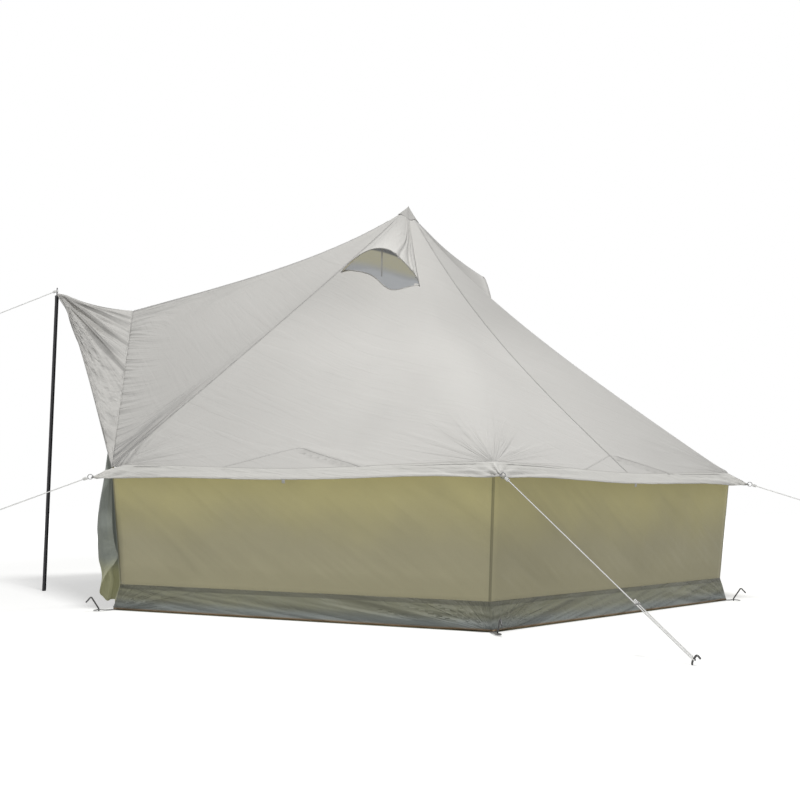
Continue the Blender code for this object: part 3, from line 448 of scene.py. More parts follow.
def cloth_piece(name, grid, thickness, heights=None, ring=False, holes=(), flip=False,
                fields=None, paint=None, pull=None, lining=None):
    """A closed thin shell under a grid of points, with a UV map in metres.

    heights lifts each point off the sheet before the shell gets its thickness, and ring says
    that the last column lies on the first. pull gives the place of row i and column j on the
    map of creases, as seen from the faces right of column k.
    """
    rows, columns = len(grid), len(grid[0])
    if heights:
        depth = sizes().crease_depth
        normals = grid_normals(grid, ring, flip)
        grid = [[p + n * (h * depth) for p, n, h in zip(*lines)]
                for lines in zip(grid, normals, heights)]
        fields = dict(fields or {}, dip=[[-h for h in line] for line in heights])
    normals = grid_normals(grid, ring, flip)
    count = rows * columns
    points = [p for line in grid for p in line]
    points += [p - n * thickness for line, across in zip(grid, normals)
               for p, n in zip(line, across)]
    faces, used, owners = [], set(), []
    for i in range(rows - 1):
        for j in range(columns - 1):
            if (i, j) not in holes:
                a, b = i * columns + j, (i + 1) * columns + j
                face = (a + 1, b + 1, b, a) if flip else (a, b, b + 1, a + 1)
                faces.append(face)
                owners.append(j)
                used.update(zip(face, face[1:] + face[:1]))
    inner = [tuple(v + count for v in face[::-1]) for face in faces]
    sides = []
    for a, b in sorted(used):
        if (b, a) in used:
            continue
        same_column = a % columns == b % columns
        if ring and same_column and a % columns in (0, columns - 1):
            continue
        sides.append((b, a, a + count, b + count))
    owners += owners + [min(a % columns, b % columns, columns - 2) for b, a, *_ in sides]
    mesh = bpy.data.meshes.new(name)
    mesh.from_pydata(points, [], faces + inner + sides)
    if lining:
        for k in range(len(faces), 2 * len(faces)):
            mesh.polygons[k].material_index = 1
    places = sheet_places(grid)
    flat = [c for face in faces + inner + sides for v in face for c in places[v % count]]
    mesh.uv_layers.new(name="cloth").data.foreach_set("uv", flat)
    if pull:
        flat = [c for face, owner in zip(faces + inner + sides, owners) for v in face
                for c in pull(v % count // columns, v % count % columns, owner)]
        mesh.uv_layers.new(name="pull").data.foreach_set("uv", flat)
    for field, values in (fields or {}).items():
        flat = [v for line in values for v in line] * 2
        mesh.attributes.new(field, "FLOAT", "POINT").data.foreach_set("value", flat)
    builder = bmesh.new()
    builder.from_mesh(mesh)
    bmesh.ops.remove_doubles(builder, verts=builder.verts, dist=1e-5)
    loose = [v for v in builder.verts if not v.link_faces]
    bmesh.ops.delete(builder, geom=loose, context="VERTS")
    builder.to_mesh(mesh)
    builder.free()
    item = finished(name, mesh, paint)
    if lining:
        mesh.materials.append(finish(lining))
    return item


def run_lengths(route):
    """How far each point of a route lies along it."""
    return list(accumulate(((b - a).length for a, b in zip(route, route[1:])), initial=0.0))


def sheet_places(grid):
    """A place in metres on the flat cloth for each point of a grid."""
    middle = len(grid[0]) // 2
    down = run_lengths([line[middle] for line in grid])
    places = []
    for line, far in zip(grid, down):
        across = run_lengths(line)
        places += [(x - across[-1] / 2, far) for x in across]
    return places


def linked(name, data):
    item = bpy.data.objects.new(name, data)
    bpy.context.scene.collection.objects.link(item)
    return item


def finished(name, mesh, paint, smooth=True):
    """An object of that mesh, in the finish of that name."""
    item = linked(name, mesh)
    if smooth:
        mesh.polygons.foreach_set("use_smooth", [True] * len(mesh.polygons))
    if paint:
        kept = [0] * len(mesh.polygons)
        mesh.polygons.foreach_get("material_index", kept)
        mesh.materials.clear()
        mesh.materials.append(finish(paint))
        mesh.polygons.foreach_set("material_index", kept)
    mesh.update()
    return item


def flat_size(grid):
    """Width, length and area of a grid of points laid flat."""
    middle, last = len(grid[0]) // 2, grid[-1]
    length = run_lengths([line[middle] for line in grid])[-1]
    width = max(run_lengths(line)[-1] for line in (grid[0], last))
    area = 0.0
    for above, below in zip(grid, grid[1:]):
        for j in range(len(above) - 1):
            area += (above[j] - below[j + 1]).cross(above[j + 1] - below[j]).length / 2
    return (width, max(length, area / width)), area


def fit(item, slot, *nodes, body="tent"):
    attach(item, body)
    if nodes:
        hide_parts(*nodes)
    return item


def declare_sheet(item, grid, nodes, slot="roof_canvas"):
    """Attach a sheet to the tent and hide the solids it replaces; the size its grid has laid flat
    is worked out but not used.
    """
    flat, area = flat_size(grid)
    fit(item, slot, *nodes)


def arc_point(centre, u, v, radius, angle):
    return centre + u * (radius * cos(angle)) + v * (radius * sin(angle))


def turned_piece(name, profile, paint, placed):
    """A closed solid turned about Z from a profile of (radius, height), bottom to top."""
    builder = bmesh.new()
    line = [builder.verts.new((radius, 0, height)) for radius, height in profile]
    for low, high in zip(line, line[1:]):
        builder.edges.new((low, high))
    bmesh.ops.spin(builder, geom=builder.verts[:] + builder.edges[:], cent=(0, 0, 0),
                   axis=(0, 0, 1), angle=2 * pi, steps=40, use_merge=True)
    bmesh.ops.remove_doubles(builder, verts=builder.verts, dist=1e-6)
    bmesh.ops.recalc_face_normals(builder, faces=builder.faces)
    mesh = bpy.data.meshes.new(name)
    builder.to_mesh(mesh)
    builder.free()
    mesh.transform(placed)
    return finished(name, mesh, paint)


def tube_piece(name, route, radius, paint, sides=12, strands=0, lay=0.02):
    """A round tube along a route, with laid strands if asked; its ends are domed."""
    last = len(route) - 1
    tangents = [(route[min(k + 1, last)] - route[max(k - 1, 0)]).normalized()
                for k in range(last + 1)]
    side, frames = tangents[0].orthogonal().normalized(), []
    for place, tangent, travelled in zip(route, tangents, run_lengths(route)):
        if frames:
            side = (side - tangent * side.dot(tangent)).normalized()
        frames.append((place, side, tangent.cross(side), travelled))
    # each ring: its frame, its share of the radius, its shift along the tube
    rings = [(frames[0], 0.35, -0.75), (frames[0], 0.8, -0.45)]
    rings += [(f, 1.0, 0.0) for f in frames]
    rings += [(frames[-1], 0.8, 0.45), (frames[-1], 0.35, 0.75)]
    points = []
    for (place, u, v, far), swell, shift in rings:
        for s in range(sides):
            turn = 2 * pi * s / sides
            reach = radius * swell
            if strands:
                reach *= 0.90 + 0.10 * cos(strands * (turn - 2 * pi * far / lay))
            points.append(arc_point(place, u, v, reach, turn) + u.cross(v) * (shift * radius))
    faces, spread = [], []
    for n, (ring, after) in enumerate(zip(rings, rings[1:])):
        for s in range(sides):
            a, b = n * sides + s, n * sides + (s + 1) % sides
            faces.append((a, b, b + sides, a + sides))
            left, right, near, far = s / sides, (s + 1) / sides, ring[0][3], after[0][3]
            spread += [left, near, right, near, right, far, left, far]
    for n, order in ((0, -1), (len(rings) - 1, 1)):
        faces.append(tuple(range(n * sides, (n + 1) * sides))[::order])
        for s in range(sides)[::order]:
            spread += [s / sides, rings[n][0][3]]
    mesh = bpy.data.meshes.new(name)
    mesh.from_pydata(points, [], faces)
    mesh.uv_layers.new(name="cloth").data.foreach_set("uv", spread)
    return finished(name, mesh, paint)


# Finishes


class Value:
    """A number, colour or vector in a node tree, which the usual signs work on."""

    def __init__(self, nodes, socket):
        self.nodes, self.socket = nodes, socket

    def __add__(self, other):
        return self.nodes.math("ADD", self, other)

    def __sub__(self, other):
        return self.nodes.math("SUBTRACT", self, other)

    def __rsub__(self, other):
        return self.nodes.math("SUBTRACT", other, self)

    def __mul__(self, other):
        return self.nodes.math("MULTIPLY", self, other)

    def __truediv__(self, other):
        return self.nodes.math("DIVIDE", self, other)

    def __gt__(self, other):
        return self.nodes.math("GREATER_THAN", self, other)

    def __lt__(self, other):
        return self.nodes.math("LESS_THAN", self, other)

    def __abs__(self):
        return self.nodes.math("ABSOLUTE", self)


class Nodes:
    """Adds nodes to one tree. Sockets are linked, or set where the value is a plain one."""

    def __init__(self, tree):
        self.tree = tree

    def feed(self, node, values):
        for socket, value in values.items():
            if isinstance(value, Value):
                self.tree.links.new(value.socket, node.inputs[socket])
            else:
                node.inputs[socket].default_value = value
        return node

    def add(self, kind, values=None, **settings):
        node = self.tree.nodes.new(kind)
        for key, value in settings.items():
            setattr(node, key, value)
        return self.feed(node, values or {})

    def out(self, node, output=0):
        return Value(self, node.outputs[output])

    def math(self, operation, *values):
        return self.out(self.add("ShaderNodeMath", dict(enumerate(values)), operation=operation))

    def ranged(self, value, low, high, new_low=0.0, new_high=1.0):
        return self.out(self.add(
            "ShaderNodeMapRange", dict(enumerate((value, low, high, new_low, new_high))),
            interpolation_type="SMOOTHSTEP"))

    def mixed(self, share, first, second, blend="MIX"):
        return self.out(self.add("ShaderNodeMix", {0: share, 6: first, 7: second},
                                 data_type="RGBA", blend_type=blend), 2)

    def noise(self, vector, scale, detail=3.0, roughness=0.55):
        return self.out(self.add("ShaderNodeTexNoise", {
            "Vector": vector, "Scale": scale, "Detail": detail, "Roughness": roughness}))

    def scaled(self, vector, scale):
        kind = "SCALE" if isinstance(scale, float) else "MULTIPLY"
        socket = "Scale" if kind == "SCALE" else 1
        return self.out(self.add("ShaderNodeVectorMath", {0: vector, socket: scale},
                                 operation=kind))

    def combined(self, *values):
        return self.out(self.add("ShaderNodeCombineXYZ", dict(enumerate(values))))

    def parts(self, vector):
        node = self.add("ShaderNodeSeparateXYZ", {0: vector})
        return [self.out(node, k) for k in range(3)]

    def uv(self, name="cloth"):
        return self.out(self.add("ShaderNodeUVMap", uv_map=name))

    def place(self):
        return self.out(self.add("ShaderNodeTexCoord"), "Object")

    def field(self, name):
        return self.out(self.add("ShaderNodeAttribute", attribute_name=name), "Fac")

    def bump(self, height, distance):
        return self.out(self.add("ShaderNodeBump", {
            "Strength": 1.0, "Distance": distance, "Height": height}))

    def group(self, name, **values):
        """The outputs of a shared group, which is made when it is first used."""
        tree = bpy.data.node_groups.get(name) or make_group(name)
        node = self.add("ShaderNodeGroup", node_tree=tree)
        self.feed(node, {label.replace("_", " "): value for label, value in values.items()})
        return [self.out(node, k) for k in range(len(node.outputs))]


def make_group(name):
    """A shader group from its row in GROUPS, where None stands for a vector."""
    inputs, outputs, fill = GROUPS[name]
    tree = bpy.data.node_groups.new(name, "ShaderNodeTree")
    for label, default in inputs.items():
        kind = "NodeSocketVector" if default is None else "NodeSocketFloat"
        socket = tree.interface.new_socket(name=label, in_out="INPUT", socket_type=kind)
        if default is not None:
            socket.default_value = default
    for label in outputs:
        tree.interface.new_socket(name=label, in_out="OUTPUT", socket_type="NodeSocketFloat")
    n = Nodes(tree)
    given = n.add("NodeGroupInput")
    results = fill(n, *[n.out(given, label) for label in inputs])
    n.add("NodeGroupOutput", dict(zip(outputs, results)))
    return tree


def plain_weave(n, place, threads, slub):
    """Over and under threads across the cloth's own map."""
    x, y, _ = n.parts(n.out(n.add("ShaderNodeVectorMath", {0: place, "Scale": threads},
                                  operation="SCALE")))
    over = n.math("SINE", x * pi) * n.math("SINE", y * pi)
    slubs = n.noise(n.scaled(place, (40, 700, 1)), 1.0) + n.noise(
        n.scaled(place, (650, 35, 1)), 1.0)
    return over * 0.5 + slubs * slub, n.ranged(slubs, 0.7, 1.3)


def weathering_and_reflection(n, place, scale, low_reflection_height):
    """Large soft stains, patches low down that place a painted reflection, and small specks, from
    the object's own place.
    """
    low_reflection = n.ranged(n.parts(place)[2], low_reflection_height, 0.0) * n.noise(place, 9.0, 6.0)
    return (n.ranged(n.noise(place, scale, 5.0, 0.5), 0.35, 0.7), low_reflection,
            n.ranged(n.noise(place, 160.0, 2.0), 0.62, 0.74))


def crumpled_cloth(n, place, across, down):
    """Small soft creases of handled cloth."""
    wide = n.noise(n.scaled(place, n.combined(across, down, 8.0)), 1.0, 4.0, 0.5)
    return (wide + n.ranged(abs(wide - 0.5), 0.0, 0.10) * 0.25,)


def pulled_creases(n, x, y, seed, rays, reach):
    """Creases that spread like a fan from a pulled point, 0 to about 1."""
    away = n.math("SQRT", x * x + y * y)
    turn = n.math("ARCTAN2", y, x) * rays
    wave = n.noise(n.combined(turn, away * 1.6, seed), 1.0, 2.0)
    sharp = n.ranged(abs(wave - 0.5), 0.06, 0.0)
    span = n.noise(n.combined(turn * 0.7, 0.0, seed + 5.0), 1.0, 1.0)
    fade = n.ranged(away / (reach * n.ranged(span, 0.25, 0.75, 0.3, 1.5)), 1.0, 0.2)
    return ((wave * 1.3 + sharp * 0.30) * (fade * n.ranged(away, 0.008, 0.04)),)


GROUPS = {
    "plain_weave": ({"Place": None, "Threads per metre": 900.0, "Slub": 0.4},
                    ("Height", "Tint"), plain_weave),
    "weathering_and_reflection": ({"Place": None, "Stain scale": 1.6, "Low reflection height": 0.3},
                   ("Stain", "Low reflection", "Speck"), weathering_and_reflection),
    "crumpled_cloth": ({"Place": None, "Across": 8.0, "Down": 8.0}, ("Height",),
                       crumpled_cloth),
    "pulled_creases": ({"X": 0.0, "Y": 0.0, "Seed": 0.0, "Rays": 9.0, "Reach": 0.5},
                       ("Height",), pulled_creases),
}


def two_fans(n, x, width, y, rays, reach, seeds):
    """Fans of creases from both ends of a side."""
    first, second = (n.group("pulled_creases", X=off, Y=y, Rays=rays, Reach=reach, Seed=seed)[0]
                     for off, seed in zip((x, width - x), seeds))
    return first + second


# Each of these gives a height in metres and a share of painted shade.


def roof_folds(n):
    """Fans from the corners, and gathers along the doorway's seam and beside its hips."""
    u, v, _ = n.parts(n.uv("pull"))
    index = n.math("FLOOR", v * (1 / PULL_STEP))
    up = v - index * PULL_STEP
    seed = index * 3.7
    half = CORNER_RADIUS / 2
    fans = two_fans(n, u + half, CORNER_RADIUS, up, 10.0, 0.60, (seed, seed + 17.0))
    off = abs(u)
    door = off > PULL_STEP / 2
    plain = 1.0 - door
    along = off - PULL_STEP
    slant = n.ranged(along, 0.05, 0.5) * n.ranged(along, DOOR_WIDTH, 1.25) * up * 0.60
    gather = n.noise(n.combined((along - slant) * 26.0, up * 1.8, u * 0.2), 1.0, 2.0)
    mask = n.field("crumple") * door
    share = n.ranged(up, SLOPE_LENGTH, 0.0)
    away = (share * half - off) * plain + (PULL_STEP + DOOR_WIDTH - off) * share * door
    first, last = (index < 0.5) * (u < 0.0), (index > 3.5) * (u > 0.0)
    beside = n.math("MAXIMUM", door, n.math("MAXIMUM", first, last))
    beside *= n.ranged(away, 0.15, 0.05) * n.ranged(up, 0.75, 0.15)
    wave = n.noise(n.combined(away * 24.0, up * 1.2, seed), 1.0, 1.0)
    height = fans * 0.0042 * plain + gather * mask * 0.040 + wave * beside * 0.070
    shade = n.ranged(gather, 0.50, 0.34, 0.0, 0.42) * mask
    shade += n.ranged(wave, 0.5, 0.34, 0.0, 0.45) * beside
    return height, shade + n.ranged(fans, 0.30, 0.85, 0.0, 0.07) * plain


def awning_folds(n):
    """Folds from the pole's tip to the seam, and crumples low on the flanks."""
    u, v, _ = n.parts(n.uv("pull"))
    off = abs(u)
    wave = n.noise(n.combined(u * 22.0, v, 2.0), 1.0, 2.0)
    high = n.ranged(off, 0.70, 0.35) * n.ranged(v, 0.0, 0.3)
    low = n.ranged(off, 0.35, 0.6)
    crumple = n.noise(n.combined(off * 20.0 + v * 15.0, v * 5.0, u), 1.0, 3.0)
    shade = n.ranged(wave, 0.50, 0.34, 0.0, 0.75) * high * n.ranged(v, 0.10, 0.40, 0.25, 1.0)
    shade += n.ranged(crumple, 0.48, 0.34, 0.0, 0.26) * low
    return wave * high * 0.030 + crumple * low * 0.030, shade


def wall_folds(n):
    """Wide soft folds that fall to the right across a wall."""
    x, y, _ = n.parts(n.uv())
    wave = n.noise(n.combined((x - y * 1.6) * 4.0, x * 0.7, 1.0), 1.0, 2.0)
    wide = n.noise(n.combined(x * 0.9, 0.0, 7.0), 1.0)
    calm = n.ranged(y, 0.0, 0.15) * n.ranged(y, 0.62, 0.5) * n.ranged(wide, 0.35, 0.6, 0.2, 1.0)
    return wave * calm * 0.035, n.ranged(wave, 0.5, 0.3, 0.0, 0.14) * calm


def skirt_folds(n):
    """Broad folds that lean to the near corner, and fans from both corners."""
    u, v, _ = n.parts(n.uv("pull"))
    index = n.math("FLOOR", u * (1 / PULL_STEP))
    u -= index * PULL_STEP
    lean = n.ranged(index, 0.0, 1.0, 0.12, -0.20)
    band = n.noise(n.combined((v + lean * u) * 26.0, u * 1.1, index), 1.0, 1.0)
    fans = two_fans(n, u, SKIRT_FOOT_RADIUS, v, 6.0, 1.3, (3.0, 9.0))
    shade = n.ranged(fans, 0.40, 0.85, 0.0, 0.16) + n.ranged(band, 0.52, 0.36, 0.0, 0.42)
    return fans * 0.008 + band * 0.030, shade


def new_material(name):
    made = bpy.data.materials.new(name)
    made.use_nodes = True
    return made, Nodes(made.node_tree), made.node_tree.nodes["Principled BSDF"]


def solid(colour):
    return (*colour, 1.0)


def tinted(colour, share):
    return tuple(part * share for part in colour)


def darker(colour, share):
    return solid(tinted(colour, share))


def cloth_material(name, colour, roughness=0.85, sheen=0.25, threads=900.0, crumple=(7.0, 7.0),
                   crumple_height=0.004, seams=False, gradient=None, stain=0.10, low_reflection=None,
                   coat=0.0, hem=None, fine=0.0, folds=None, toned=False, glow=0.0,
                   dips=0.0, bands=()):
    """Woven cloth with creases, stains and, where asked, seam lines, a hem or a gradient."""
    made, n, shader = new_material(name)
    uv, place = n.uv(), n.place()
    woven, thread_tint = n.group("plain_weave", Place=uv, Threads_per_metre=threads)
    stains, low_reflection_mask, specks = n.group("weathering_and_reflection", Place=place)
    across, down = crumple
    base = solid(colour)
    if gradient:
        upper, low, high = gradient
        level = n.parts(place)[2] + n.noise(place, 2.2) * 0.22
        base = n.mixed(n.ranged(level, low, high), solid(upper), base)
    base = n.mixed(stains * stain, base, darker(colour, 0.72))
    # Painted reflection in patches low down, where it is asked for.
    if low_reflection:
        base = n.mixed(low_reflection_mask * low_reflection[0], base, solid(low_reflection[1]))
    base = n.mixed(thread_tint * 0.06, base, darker(colour, 1.12))
    base = n.mixed(specks * 0.10, base, darker(colour, 0.45))
    crumpled = n.group("crumpled_cloth", Place=uv, Across=across, Down=down)[0]
    height = woven * 0.00012 + crumpled * crumple_height
    if fine:
        small = n.group("crumpled_cloth", Place=uv, Across=across * 3.1, Down=down * 3.1)[0]
        height += small * fine * n.field("crumple")
    # The folds' share of painted shade darkens the cloth.
    if folds:
        raised, shade = folds(n)
        height += raised
        base = n.mixed(shade, base, darker(colour, 0.45))
    # Painted shade in the dips of the creases.
    if dips:
        base = n.mixed(n.ranged(n.field("dip"), 0.0, 0.010, 0.0, dips), base,
                       darker(colour, 0.45))
    for label, low, high, most, shown in bands:
        base = n.mixed(n.ranged(n.field(label), low, high, 0.0, most), base, solid(shown))
    # Painted shade over whole areas, which the piece carries as a field.
    if toned:
        base = n.mixed(1.0, base, n.field("tone"), "MULTIPLY")
    # Each seam and hem gets a small raised step and a thin painted shade line along its edge.
    lines = []
    if seams:
        lines += [("seam", sizes().seam_width / 2, 0.003, 0.30, 0.30, 0.0016),
                  ("patch", 0.003, 0.003, 0.17, 0.30, 0.0016)]
    if hem:
        lines.append(("hem", hem, 0.002, 0.35, 0.35, 0.0012))
    for label, width, edge, depth, shade, step in lines:
        far = n.field(label) if label == "hem" else abs(n.field(label))
        line = n.ranged(abs(far - width), 0.0035, 0.0005)
        base = n.mixed(line * depth, base, darker(colour, shade))
        foot = width - 0.001 if label == "hem" else width
        height += n.ranged(far, width + edge, foot) * step
    n.feed(shader, {
        "Normal": n.bump(height, 1.0), "Base Color": base,
        "Roughness": stains * 0.10 + (roughness - 0.05), "Sheen Weight": sheen,
        "Sheen Roughness": 0.5, "Specular IOR Level": 0.25 + coat})
    # A glow in the cloth's own colour: painted light.
    if glow:
        n.feed(shader, {"Emission Color": base, "Emission Strength": glow})
    return made


def netting_material(name):
    """Fine square mesh of dark threads under a painted glow, with painted light of the cloth
    behind it towards the top.
    """
    made, n, shader = new_material(name)
    uv, colour = n.uv(), colours().netting
    lines = [n.ranged(abs(n.math("FRACT", part) - 0.5), 0.20, 0.36)
             for part in n.parts(n.scaled(uv, 260.0))[:2]]
    thread = n.math("MAXIMUM", *lines)
    mottle = n.noise(uv, 30.0, 4.0)
    far = n.field("hem")
    # Towards the top the holes show painted light of the lit cloth behind, and along the very top
    # a painted shadow.
    holes = n.mixed(n.ranged(far, 0.06, 0.17), solid(colour), (0.37, 0.345, 0.22, 1))
    holes = n.mixed(n.ranged(far, 0.265, 0.285), holes, (0.02, 0.02, 0.018, 1))
    base = n.mixed(thread, darker(colour, 0.62), holes)
    base = n.mixed(mottle * 0.3, base, darker(colour, 1.3))
    # A nearly black base under an even glow: the netting's brightness is painted light.
    n.feed(shader, {
        "Base Color": n.mixed(0.88, base, (0, 0, 0, 1)), "Emission Color": base,
        "Emission Strength": 0.99, "Normal": n.bump(thread, 0.0004),
        "Roughness": n.ranged(mottle, 0.3, 0.7, 0.75, 0.95)})
    return made


def rope_material(name):
    """Three laid strands of fine yarn, with painted shade between them and towards the rope's
    edges, and a painted glow.
    """
    made, n, shader = new_material(name)
    colour = colours().rope
    round_it, along, _ = n.parts(n.uv())
    grime = n.noise(n.place(), 14.0, 5.0)
    valley = n.math("COSINE", (round_it * 3.0 - along * (3.0 / sizes().rope_lay)) * (2 * pi))
    yarn = n.math("SINE", (round_it + along * 90.0) * 60.0)
    edge = n.out(n.add("ShaderNodeLayerWeight", {"Blend": 0.5}), "Facing")
    # Painted shade between the strands.
    base = n.mixed(n.ranged(valley, -0.5, -1.0), solid(colour), darker(colour, 0.75))
    base = n.mixed(n.ranged(grime, 0.5, 0.8, 0.0, 0.35), base, darker(colour, 0.6))
    # Painted shade towards the rope's edges as it is seen.
    base = n.mixed(n.ranged(edge, 0.30, 0.70), base, darker(colour, 0.16))
    # The glow is painted light.
    n.feed(shader, {
        "Base Color": base, "Emission Color": base, "Emission Strength": 0.32,
        "Normal": n.bump(yarn, 0.0003), "Roughness": n.ranged(grime, 0.3, 0.7, 0.75, 0.9),
        "Sheen Weight": 0.2})
    return made


def hard_material(name, colour, roughness, metallic, worn, wear):
    """Metal, paint or plastic with fine scratches, worn spots and a slightly uneven surface."""
    made, n, shader = new_material(name)
    place = n.place()
    cloudy = n.noise(place, 22.0, 6.0)
    scratch = n.noise(n.scaled(place, (900, 900, 12)), 1.0, 2.0)
    spots = n.ranged(n.noise(place, 180.0, 4.0), 0.60, 0.70)
    base = n.mixed(n.ranged(cloudy, 0.35, 0.7, 0.0, 0.35), solid(colour), darker(colour, 0.7))
    rough = n.ranged(cloudy, 0.3, 0.7, roughness - 0.07, roughness + 0.09)
    n.feed(shader, {
        "Base Color": n.mixed(spots * wear, base, solid(worn)), "Metallic": metallic,
        "Roughness": rough + scratch * 0.08, "Normal": n.bump(scratch + cloudy, 0.0002)})
    return made


def canvas(share, *crumple, **more):
    """Settings of plain canvas in a share of the roof's colour."""
    return dict(colour=tinted(colours().roof, share), crumple=crumple, **more)


def finish(name):
    """One material by name, made when it is first asked for."""
    found = bpy.data.materials.get(name)
    if found:
        return found
    if name in SPECIAL_FINISHES:
        return SPECIAL_FINISHES[name](name)
    if name in HARD_FINISHES:
        return hard_material(name, *HARD_FINISHES[name]())
    return cloth_material(name, **CLOTH_FINISHES[name]())


SPECIAL_FINISHES = {"insect_netting": netting_material, "laid_rope": rope_material}
HARD_FINISHES = {
    # name: colour, roughness, metal, worn colour, wear
    "black_paint": lambda: (colours().pole, 0.34, 0.0, (0.09, 0.09, 0.10), 0.4),
    "bare_steel": lambda: (colours().steel, 0.36, 0.9, (0.16, 0.13, 0.11), 0.6),
    "grey_plastic": lambda: ((0.33, 0.33, 0.32), 0.42, 0.0, (0.26, 0.26, 0.25), 0.4),
    "peg_steel": lambda: ((0.10, 0.10, 0.10), 0.38, 0.8, (0.20, 0.17, 0.14), 0.6),
}
CLOTH_FINISHES = {
    "roof_cloth": lambda: canvas(1, 4.0, 2.6, seams=True, fine=0.0015, crumple_height=0.003,
                                 folds=roof_folds, toned=True, dips=0.40),
    "plain_canvas": lambda: canvas(1, 11.0, 7.0),
    # Painted shade: the awning is a little darker than the roof's canvas.
    "awning_cloth": lambda: canvas(0.88, 6.0, 9.0, crumple_height=0.003, hem=0.022,
                                   folds=awning_folds, dips=0.38),
    "cap_cloth": lambda: canvas(0.66, 14.0, 9.0),
    "hood_cloth": lambda: canvas(0.97, 16.0, 5.0, crumple_height=0.005, hem=0.012, dips=0.6,
                                 toned=True),
    "thread_cloth": lambda: canvas(0.62, 20.0, 20.0, crumple_height=0.0005),
    "thread": lambda: canvas(0.55, 40.0, 40.0, threads=2400.0, crumple_height=0.0002),
    # The lining's glow is painted light coming through the hood.
    "lining": lambda: dict(colour=(0.40, 0.36, 0.24), crumple=(16.0, 5.0), glow=0.62),
    # The dark band along the strip's top edge is painted shade where it meets the roof.
    "strip_cloth": lambda: dict(
        colour=colours().strip, crumple=(9.0, 14.0), crumple_height=0.0028, hem=0.009,
        dips=0.50, bands=(("top", 0.0065, 0.0015, 0.5, (0.22, 0.21, 0.19)),)),
    # The lighter, yellower upper wall and the glow are painted light coming through the canvas.
    "wall_cloth": lambda: dict(
        colour=colours().wall_foot, gradient=(colours().wall_top_lit, 0.78, 0.42),
        crumple=(2.5, 2.0), seams=True, stain=0.18, folds=wall_folds, glow=0.20, toned=True,
        bands=(("seam", 0.014, 0.010, 0.45, (0.10, 0.095, 0.06)),)),
    # The bluish low patches and the bluish band above the foot are a painted reflection.
    "skirt_cloth": lambda: dict(
        colour=colours().skirt, roughness=0.50, sheen=0.1, threads=1400.0,
        crumple=(9.0, 12.0), coat=0.35, hem=0.118, stain=0.3,
        low_reflection=(0.45, (0.25, 0.28, 0.31)), folds=skirt_folds, dips=0.3,
        bands=(("hem", 0.072, 0.024, 0.42, (0.25, 0.30, 0.36)),
               ("hem", 0.017, 0.005, 0.85, (0.40, 0.22, 0.08)),
               ("hem", 0.111, 0.115, 0.5, (0.09, 0.09, 0.07)))),
    # The glow is painted light that lightens the leaf's shaded folds.
    "leaf_cloth": lambda: dict(
        colour=(0.40, 0.40, 0.25), gradient=(colours().leaf, 0.40, 0.30),
        crumple=(14.0, 9.0), hem=0.018, stain=0.25, dips=0.3, glow=0.20),
    "sheet_cloth": lambda: dict(colour=tinted(colours().skirt, 0.8), roughness=0.5,
                                threads=1400.0, crumple=(3.0, 3.0), stain=0.4),
    "webbing": lambda: dict(colour=(0.17, 0.17, 0.165), threads=700.0, crumple=(30.0, 30.0),
                            crumple_height=0.001),
}


# Cloth pieces


def layers(rows, columns, cell):
    """The grids of a sheet: cell gives a place, and what else is wanted, by row and column."""
    table = [[cell(i, j) for j in range(columns)] for i in range(rows)]
    return [[[values[k] for values in line] for line in table]
            for k in range(len(table[0][0]))]


def roof_columns(face_steps=60, door_steps=36):
    """Round the roof from the doorway's right hip back to it: (kind, face or side, place)."""
    columns = [("face", face, face - 30 + 60 * eased(k / face_steps))
               for face in FACES for k in range(face_steps)]
    columns += [("door", -1, 1 - eased(k / door_steps, 0.3)) for k in range(door_steps)]
    return columns + [("door", 1, eased(k / door_steps, 0.3)) for k in range(door_steps + 1)]


def column_reach(kind, which, place):
    return plan_radius(place) if kind == "face" else seam_point(1, place).xy.length


def column_point(kind, which, place, share):
    if kind == "face":
        return roof_point(place, share)
    return door_roof_point(which, place, share)


def column_azimuth(kind, which, place):
    return place if kind == "face" else DOORWAY + which * 30 * place


def in_vent(azimuth, share):
    return 0.09 < share < 0.275 and any(
        max(first, 5) < azimuth - (face - 30) < last
        for face, (first, last, *_) in VENTS.items())


def roof_painted_shade(azimuth, share):
    """Painted shade: the canvas is darker towards the doorway's hips, beyond the right-hand seam
    and towards the apex.
    """
    tone = 1 - 0.10 * smooth_step((abs(azimuth - 5) - 15) / 60)
    if 30 < azimuth < 150:
        tone *= 0.95
    return tone * (1 - 0.15 * smooth_step((0.62 - share) / 0.30))


